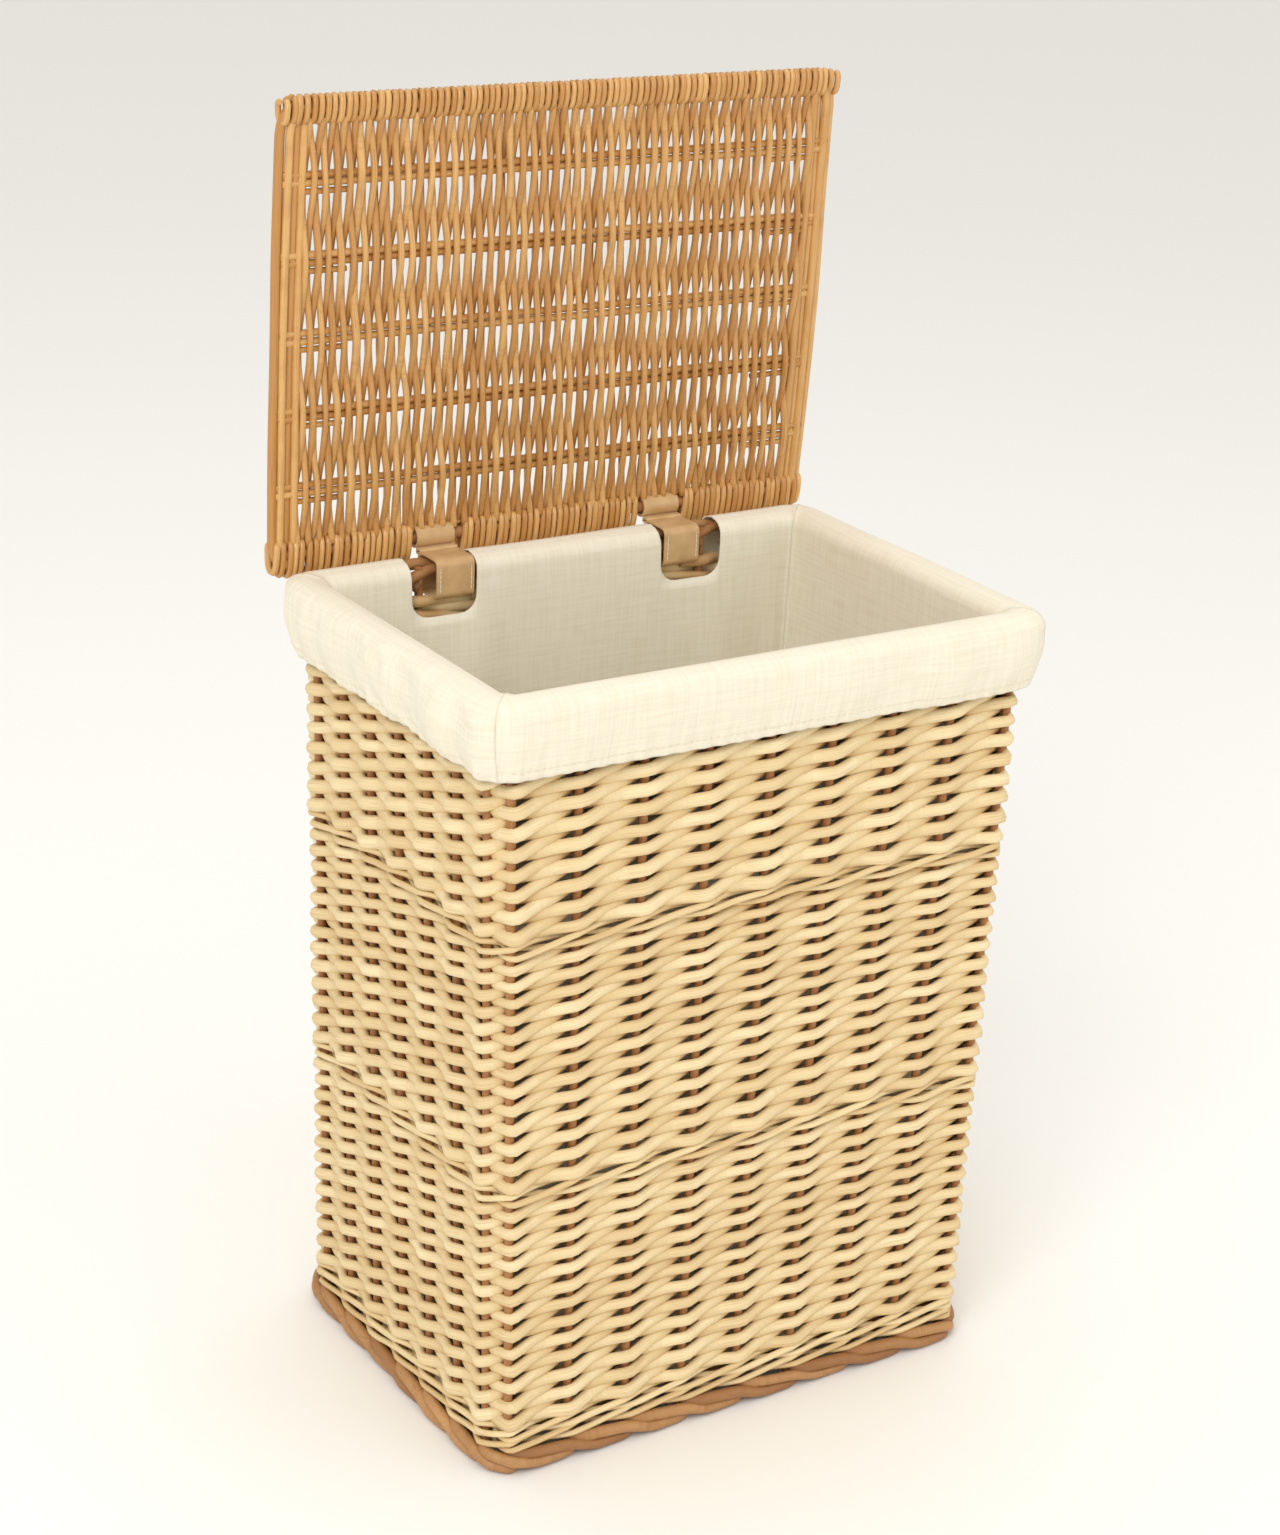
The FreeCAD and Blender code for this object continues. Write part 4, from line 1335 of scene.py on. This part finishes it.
@dataclass(frozen=True)
class Strap:
    """A leather hinge strap: a loop round the border, a neck, and a loop round the lid's bar."""

    node: str
    thickness: float = 2.2 * MM
    clearance: float = 0.3 * MM
    edge: float = 0.9 * MM
    seam: float = 3.0 * MM  # from the strap's edge to its stitches
    stitch: float = 3.6 * MM

    def band(self, name: str, line: Array) -> bpy.types.Object:
        """Carries the strap's flat section round a closed line in the Y-Z plane.

        Args:
            name: the piece's name.
            line: stations x 2, the closed middle line.

        Returns:
            The band.
        """
        low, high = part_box(self.node)
        middle, half = (low.x + high.x) / 2, (high.x - low.x) / 2
        ahead = unit(np.roll(line, -1, axis=0) - np.roll(line, 1, axis=0))
        away = np.stack([ahead[:, 1], -ahead[:, 0]], axis=-1)
        thin = self.thickness / 2
        turn = np.linspace(0, math.pi / 2, 4)
        right = np.stack([half - self.edge + self.edge * np.sin(turn),
                          thin - self.edge + self.edge * np.cos(turn)], axis=-1)
        low_right = right[::-1] * [1, -1]
        section = np.concatenate([right, low_right, -right, -low_right])
        place = line[:, None, :] + section[None, :, 1:2] * away[:, None, :]
        x = middle + np.broadcast_to(section[None, :, 0], place.shape[:2])
        points = np.stack([x, place[..., 0], place[..., 1]], axis=-1)
        along = np.concatenate([[0], np.cumsum(np.linalg.norm(np.diff(line, axis=0), axis=1))])
        girth = np.concatenate([[0], np.cumsum(np.linalg.norm(np.diff(section, axis=0), axis=1))])
        return mesh_object(name, loop_skin(points, along, girth))

    def seams(self, front: float, bottom: float, top: float) -> bpy.types.Object:
        """Stitches up both edges of the loop's front face.

        Each thread runs straight up, and its distance from the face is a cosine of the height.

        Args:
            front: y of the loop's middle line at the front.
            bottom: lowest height of the loop's middle line.
            top: highest height of the loop's middle line.

        Returns:
            The two threads.
        """
        low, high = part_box(self.node)
        height = np.arange(bottom + 5 * MM, top - 5 * MM, self.stitch / 6)[None, :]
        x = np.array([[low.x + self.seam], [high.x - self.seam]])
        y = front - self.thickness / 2 - 0.3 * MM * np.cos(2 * math.pi * height / self.stitch)
        paths = np.stack(np.broadcast_arrays(x, y, height), axis=-1)
        thick = np.full(paths.shape[:2], 0.4 * MM)
        skin = sweep(paths, thick, np.array([0.0, 1.0, 0.0]), 5, np.full(2, 0.5))
        return mesh_object(f"{self.node}_seams", skin)

    def build(self, hinge: Vector) -> None:
        """Builds the strap's two loops, its seams and its neck.

        Args:
            hinge: a point on the hinge axis.
        """
        low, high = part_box(self.node)
        border_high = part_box("top_border")[1]
        slack = self.thickness / 2 + self.clearance
        back = border_high.y + slack
        front = low.y + self.thickness / 2
        bottom, top = low.z + self.thickness / 2, border_high.z + slack
        loop = rounded_box((front, bottom), (back, top), 5 * MM, 40)
        dress(self.band(f"{self.node}_border_loop", loop), Finish.LEATHER, "tan_leather",
              "basket", self.node)
        dress(self.seams(front, bottom, top), Finish.THREAD, "cotton_calico", "basket")
        turn = np.linspace(0, 2 * math.pi, 36, endpoint=False)
        radius = (high.y - hinge.y) - self.thickness / 2
        ring = np.stack([np.cos(turn), np.sin(turn)], axis=-1) * radius + [hinge.y, hinge.z]
        dress(self.band(f"{self.node}_hinge_loop", ring), Finish.LEATHER, "tan_leather", "basket")
        half = 1.5 * MM  # of the neck's height
        start, end = (back - 2 * half, top - half), (hinge.y - radius + half, top + half)
        neck = rounded_box(start, end, 0.7 * MM, 24)
        dress(self.band(f"{self.node}_neck", neck), Finish.LEATHER, "tan_leather", "basket")


def rounded_box(
    low: tuple[float, float], high: tuple[float, float], radius: float, count: int
) -> Array:
    """A closed rectangle with round corners, as points that run anticlockwise.

    Each corner is a quarter circle of count / 4 points; the sides between are straight.

    Args:
        low: least corner.
        high: greatest corner.
        radius: of the corners.
        count: how many points, a multiple of four.

    Returns:
        count x 2.
    """
    turn = np.linspace(0, math.pi / 2, count // 4)
    quarter = radius * np.stack([np.cos(turn), np.sin(turn)], axis=-1)
    centres = [
        (high[0] - radius, high[1] - radius),
        (low[0] + radius, high[1] - radius),
        (low[0] + radius, low[1] + radius),
        (high[0] - radius, low[1] + radius),
    ]
    parts = []
    for number, centre in enumerate(centres):
        c, s = math.cos(number * math.pi / 2), math.sin(number * math.pi / 2)
        parts.append(quarter @ np.array([[c, s], [-s, c]]) + np.array(centre))
    return np.concatenate(parts)


# --- the lid -------------------------------------------------------------------------------


@dataclass(frozen=True)
class Lid:
    """The lid: rods from hinge to front woven over pairs of cross rods, with wrapped edges.

    It is laid out flat, as when it is closed: x along the hinge, reach from the hinge axis
    to the front and rise above its middle, and is then turned to where it stands open.
    """

    hinge: Vector
    open_angle: float
    half: float
    depth: float
    thickness: float = 13 * MM
    wrap: float = 22 * MM
    hinge_wrap: float = 30 * MM  # the hinge edge is wider, and most of it is past the axis
    tail: float = 19 * MM
    side: float = 22 * MM
    weavers: int = 92
    first_pair: float = 48.5 * MM
    pair_pitch: float = 57 * MM
    pairs: int = 5
    sides: int = 7

    def place(self, x: Array, reach: Array, rise: Array) -> Array:
        """Turns flat places into where the open lid has them, about the hinge axis.

        Args:
            x: places along the hinge.
            reach: distances from the hinge axis towards the front.
            rise: heights above the lid's middle.

        Returns:
            Points, with a last axis of 3.
        """
        x, reach, rise = np.broadcast_arrays(x, reach, rise)
        c, s = math.cos(self.open_angle), math.sin(self.open_angle)
        y = self.hinge.y - reach * c + rise * s
        z = self.hinge.z + reach * s + rise * c
        return np.stack([x, y, z], axis=-1)

    def square(self, x: float, reach: float, rise: float) -> Array:
        """Turns a flat direction into the open lid's."""
        return self.place(x, reach, rise) - self.place(0.0, 0.0, 0.0)

    def panel(self) -> bpy.types.Object:
        """Weaves the panel: each weaver passes over one pair of cross rods and under the next.

        A weaver's rise is the kinked wave of its reach, and neighbours take opposite sides.

        Returns:
            The weavers.
        """
        rng = np.random.default_rng(61)
        inner = self.half - self.side
        first, last = 5 * MM, self.depth - 1.5 * self.wrap + 6 * MM
        stations = 64
        reach = np.linspace(first, last, stations)[None, :]
        pitch = 2 * inner / self.weavers
        x = (np.arange(self.weavers)[:, None] + 0.5) * pitch - inner
        phase = (reach - self.first_pair) / self.pair_pitch
        side = np.where(np.arange(self.weavers) % 2 == 0, 1, -1)[:, None]
        wave = side * kinked(phase, 0.93)
        radius = 2.62 * MM * (1 + rng.normal(0, 0.07, (self.weavers, 1)))
        swing = 2.5 * MM + 1.7 * MM
        lean = 0.15 * pitch * side * np.sin(math.pi * phase)
        x = x + lean + wander(rng, self.weavers, stations, 0.6 * MM, 10)
        rise = swing * wave
        paths = self.place(x, reach, rise)
        # Painted shade: a weaver is coloured a little darker where it sinks through the panel
        # between cross rods; the random part is each rod's own colour.
        tone = rng.random((self.weavers, 1)) + 0.7 * np.clip(0.3 - np.abs(wave), 0, 1)
        radius = np.broadcast_to(radius, paths.shape[:2])
        skin = sweep(paths, radius, self.square(0, 0, 1.0), self.sides, tone)
        return mesh_object("lid_weavers", skin)

    def wraps(
        self, name: str, centre: float, wide: float, gaps: list[tuple[float, float]], free: int
    ) -> bpy.types.Object:
        """A wrapped edge: turns of thin rod side by side round the edge's bar.

        Each turn is a flattened ring, tilted a little so that it meets the next.

        Args:
            name: the piece's name.
            centre: reach of the edge's middle.
            wide: the edge's width.
            gaps: ranges along the hinge that stay bare, for the straps.
            free: 1 at the front edge and -1 at the hinge edge.

        Returns:
            The turns.
        """
        rng = np.random.default_rng(62 + free)
        pitch = 5.2 * MM
        count = int(2 * (self.half - 3 * MM) / pitch)
        x = (np.arange(count)[:, None] + 0.5) * pitch - count * pitch / 2
        bare = [(x > low) & (x < high) for low, high in gaps]
        x = x[~np.any(bare, axis=0)][:, None] if gaps else x
        count = len(x)
        turn = np.linspace(0, 2 * math.pi, 25)[None, :]
        near = np.clip((self.half - np.abs(x)) / (15 * MM), 0.15, 1)
        deep = (wide / 2 - 2.4 * MM) * (0.62 + 0.38 * np.sqrt(near))
        tall = self.thickness / 2 - 2.0 * MM
        shift = -free * (wide / 2 - 2.4 * MM - deep)
        power = 0.75
        c, s = np.cos(turn), np.sin(turn)
        reach = centre + shift + deep * np.sign(c) * np.abs(c) ** power
        rise = tall * np.sign(s) * np.abs(s) ** power
        slant = pitch * (turn / (2 * math.pi) - 0.5) + rng.normal(0, 0.45 * MM, (count, 1))
        paths = self.place(x + slant, reach, rise)
        radius = np.full((count, 25), 2.4 * MM) * (1 + rng.normal(0, 0.06, (count, 1)))
        skin = sweep(paths, radius, self.square(1.0, 0, 0), self.sides, rng.random(count), 1.0)
        return mesh_object(name, skin)

    def side_rods(self, name: str, sign: int, seed: int) -> bpy.types.Object:
        """Lays long rods along one side; their ends bend inwards under the wrapped edges.

        Args:
            name: the piece's name.
            sign: -1 for the left side and 1 for the right.
            seed: for the rods' own unevenness.

        Returns:
            Four rods.
        """
        rng = np.random.default_rng(seed)
        stations = 48
        reach = np.linspace(-12 * MM, self.depth - self.wrap + 4 * MM, stations)[None, :]
        number = np.arange(4)[:, None]
        share = (reach - reach[0, 0]) / np.ptp(reach)
        bow = 1.8 * MM * np.sin(math.pi * share)
        ends = np.clip((0.06 - np.minimum(share, 1 - share)) / 0.06, 0, 1) ** 2
        x = self.half - 5.2 * MM - 5.6 * MM * number + bow - 9 * MM * ends * (number < 2)
        x = sign * (x + wander(rng, 4, stations, 0.4 * MM, 5))
        level = np.where(number % 2 == 0, 1.2 * MM, -1.2 * MM)
        rise = level + wander(rng, 4, stations, 0.4 * MM, 4)
        paths = self.place(x, reach, rise)
        radius = np.full((4, stations), 3.1 * MM) * (1 + rng.normal(0, 0.07, (4, 1)))
        skin = sweep(paths, radius, self.square(0, 0, 1.0), 9, rng.random(4))
        return mesh_object(name, skin)

    def cross_rods(self, number: int) -> bpy.types.Object:
        """Lays a pair of cross rods from side bundle to side bundle.

        Args:
            number: which pair, from 0 at the hinge.

        Returns:
            The two rods.
        """
        rng = np.random.default_rng(70 + number)
        stations = 40
        reach = self.first_pair + self.pair_pitch * number + np.array([[-2.9], [2.9]]) * MM
        x = np.linspace(-self.half + 6 * MM, self.half - 6 * MM, stations)[None, :]
        reach = reach + wander(rng, 2, stations, 0.3 * MM, 6)
        rise = wander(rng, 2, stations, 0.3 * MM, 6)
        paths = self.place(x, reach, rise)
        radius = np.full((2, stations), 2.9 * MM)
        skin = sweep(paths, radius, self.square(0, 0, 1.0), 8, rng.random(2))
        return mesh_object(f"lid_cross_pair_{number + 1}_rods", skin)

    def short_rods(self) -> bpy.types.Object:
        """Lays a short third rod beside each end of every pair.

        Returns:
            The short rods.
        """
        rng = np.random.default_rng(80)
        stations = 12
        inner = self.half - self.side
        run = np.linspace(0, 36 * MM, stations)[None, :]
        number = np.repeat(np.arange(self.pairs), 2)[:, None]
        sign = np.tile([-1, 1], self.pairs)[:, None]
        x = sign * (inner - run)
        reach = self.first_pair + self.pair_pitch * number - 9 * MM
        paths = self.place(x, reach, 0.0)
        radius = np.full((2 * self.pairs, stations), 2.3 * MM)
        skin = sweep(paths, radius, self.square(0, 0, 1.0), 8, rng.random(2 * self.pairs))
        return mesh_object("lid_short_rods_pieces", skin)

    def build(self) -> None:
        """Builds and dresses the lid's pieces."""
        honey = (Finish.HONEY_WILLOW, "honey_willow", "lid")
        dress(self.panel(), *honey, "lid_weave")
        front = self.depth - self.wrap
        turns = self.wraps("lid_front_turns", front, self.wrap, [], 1)
        dress(turns, *honey, "lid_front_wrap")
        boxes = [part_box("strap_left"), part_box("strap_right")]
        gaps = [(low.x - 3.5 * MM, high.x + 3.5 * MM) for low, high in boxes]
        middle = self.hinge_wrap / 2 - self.tail
        turns = self.wraps("lid_hinge_turns", middle, self.hinge_wrap, gaps, -1)
        dress(turns, *honey, "lid_back_wrap")
        dress(self.side_rods("lid_left_bundle", -1, 64), *honey, "lid_side_rods_left")
        dress(self.side_rods("lid_right_bundle", 1, 65), *honey, "lid_side_rods_right")
        for number in range(self.pairs):
            dress(self.cross_rods(number), *honey, f"lid_cross_pair_{number + 1}")
        dress(self.short_rods(), *honey, "lid_short_rods")


# --- the studio ----------------------------------------------------------------------------


@dataclass(frozen=True)
class Studio:
    """A pale floor, soft light and the camera."""

    place: tuple[float, float, float] = (-1.1596, -1.7719, 1.2790)
    yaw: float = 0.5736
    pitch: float = 0.3681
    roll: float = 0.0442
    focal: float = 3060.9 / 1535  # as a share of the frame's long side
    sensor: float = 36.0

    def camera(self) -> None:
        """Sets up the camera: yaw about the vertical, pitch downwards, then roll."""
        data = bpy.data.cameras.new("camera")
        data.sensor_width = self.sensor
        data.lens = self.focal * self.sensor
        data.clip_end = 100
        camera = bpy.data.objects.new("camera", data)
        bpy.context.scene.collection.objects.link(camera)
        ahead = Vector((
            math.sin(self.yaw) * math.cos(self.pitch),
            math.cos(self.yaw) * math.cos(self.pitch),
            -math.sin(self.pitch),
        ))
        right = Vector((math.cos(self.yaw), -math.sin(self.yaw), 0.0))
        up = right.cross(ahead)
        right, up = (
            math.cos(self.roll) * right + math.sin(self.roll) * up,
            math.cos(self.roll) * up - math.sin(self.roll) * right,
        )
        turned = Matrix((right, up, -ahead)).transposed()
        camera.matrix_world = Matrix.Translation(Vector(self.place)) @ turned.to_4x4()
        bpy.context.scene.camera = camera

    def light(self, name: str, place: tuple, size: float, watts: float, aim: tuple) -> None:
        """Adds a square soft light that looks at a point.

        Args:
            name: the lamp's name.
            place: where it hangs.
            size: its side.
            watts: its power.
            aim: what it looks at.
        """
        data = bpy.data.lights.new(name, "AREA")
        data.size = size
        data.energy = watts
        lamp = bpy.data.objects.new(name, data)
        bpy.context.scene.collection.objects.link(lamp)
        lamp.location = place
        lamp.rotation_euler = (Vector(aim) - Vector(place)).to_track_quat("-Z", "Y").to_euler()

    def build(self) -> None:
        """Makes the floor, the world's light, the lamps and the camera."""
        mesh = bpy.data.meshes.new("floor")
        far = 30.0
        corners = [(-far, -far, 0), (far, -far, 0), (far, far, 0), (-far, far, 0)]
        mesh.from_pydata(corners, [], [(0, 1, 2, 3)])
        floor = bpy.data.objects.new("floor", mesh)
        bpy.context.scene.collection.objects.link(floor)
        pale, _, shader = new_material("pale painted floor")
        shader.inputs["Base Color"].default_value = linear("F7F6F3")
        shader.inputs["Roughness"].default_value = 0.9
        floor.data.materials.append(pale)
        world = bpy.data.worlds.new("studio")
        world.use_nodes = True
        sky = world.node_tree.nodes["Background"]
        sky.inputs["Color"].default_value = linear("FFFDF8")
        sky.inputs["Strength"].default_value = 0.82
        bpy.context.scene.world = world
        self.light("key", (-2.6, -2.2, 3.2), 2.2, 76.0, (0, 0, 0.4))
        self.light("fill", (2.4, -3.0, 1.6), 2.5, 18.0, (0, 0, 0.4))
        self.light("top", (0.3, 0.8, 3.6), 2.0, 16.0, (0, 0, 0.5))
        bpy.context.scene.view_settings.view_transform = "Standard"
        self.camera()


def paint_frame_nodes() -> None:
    """Gives the CAD nodes that stay in sight their finishes."""
    stakes = ["stakes_front", "stakes_back", "stakes_left", "stakes_right", "base_sticks"]
    for name in stakes + ["lid_back_bar", "lid_front_bar"]:
        node = bpy.data.objects[name]
        node.data.materials.clear()
        node.data.materials.append(Finish.STAKE_BARK.value.material())


def main() -> None:
    """Builds the basket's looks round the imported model."""
    logging.basicConfig(level=logging.INFO, format="%(name)s %(message)s")
    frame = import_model()
    joint = frame["joints"][0]
    wall = Wall.from_frame()
    Body().build(wall)
    Liner().build(wall)
    hinge = Vector(joint["pos_m"])
    for node in ("strap_left", "strap_right"):
        Strap(node).build(hinge)
    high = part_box("lid_front_wrap")[1]
    open_angle = math.radians(joint["range_deg"][1])
    # From the hinge's own wrap, 11 mm behind the axis, to the front edge.
    depth = (high.z - hinge.z) / math.sin(open_angle) + Lid.wrap / 2
    Lid(hinge, open_angle, high.x, depth).build()
    paint_frame_nodes()
    Studio().build()


if __name__ == "__main__":
    main()
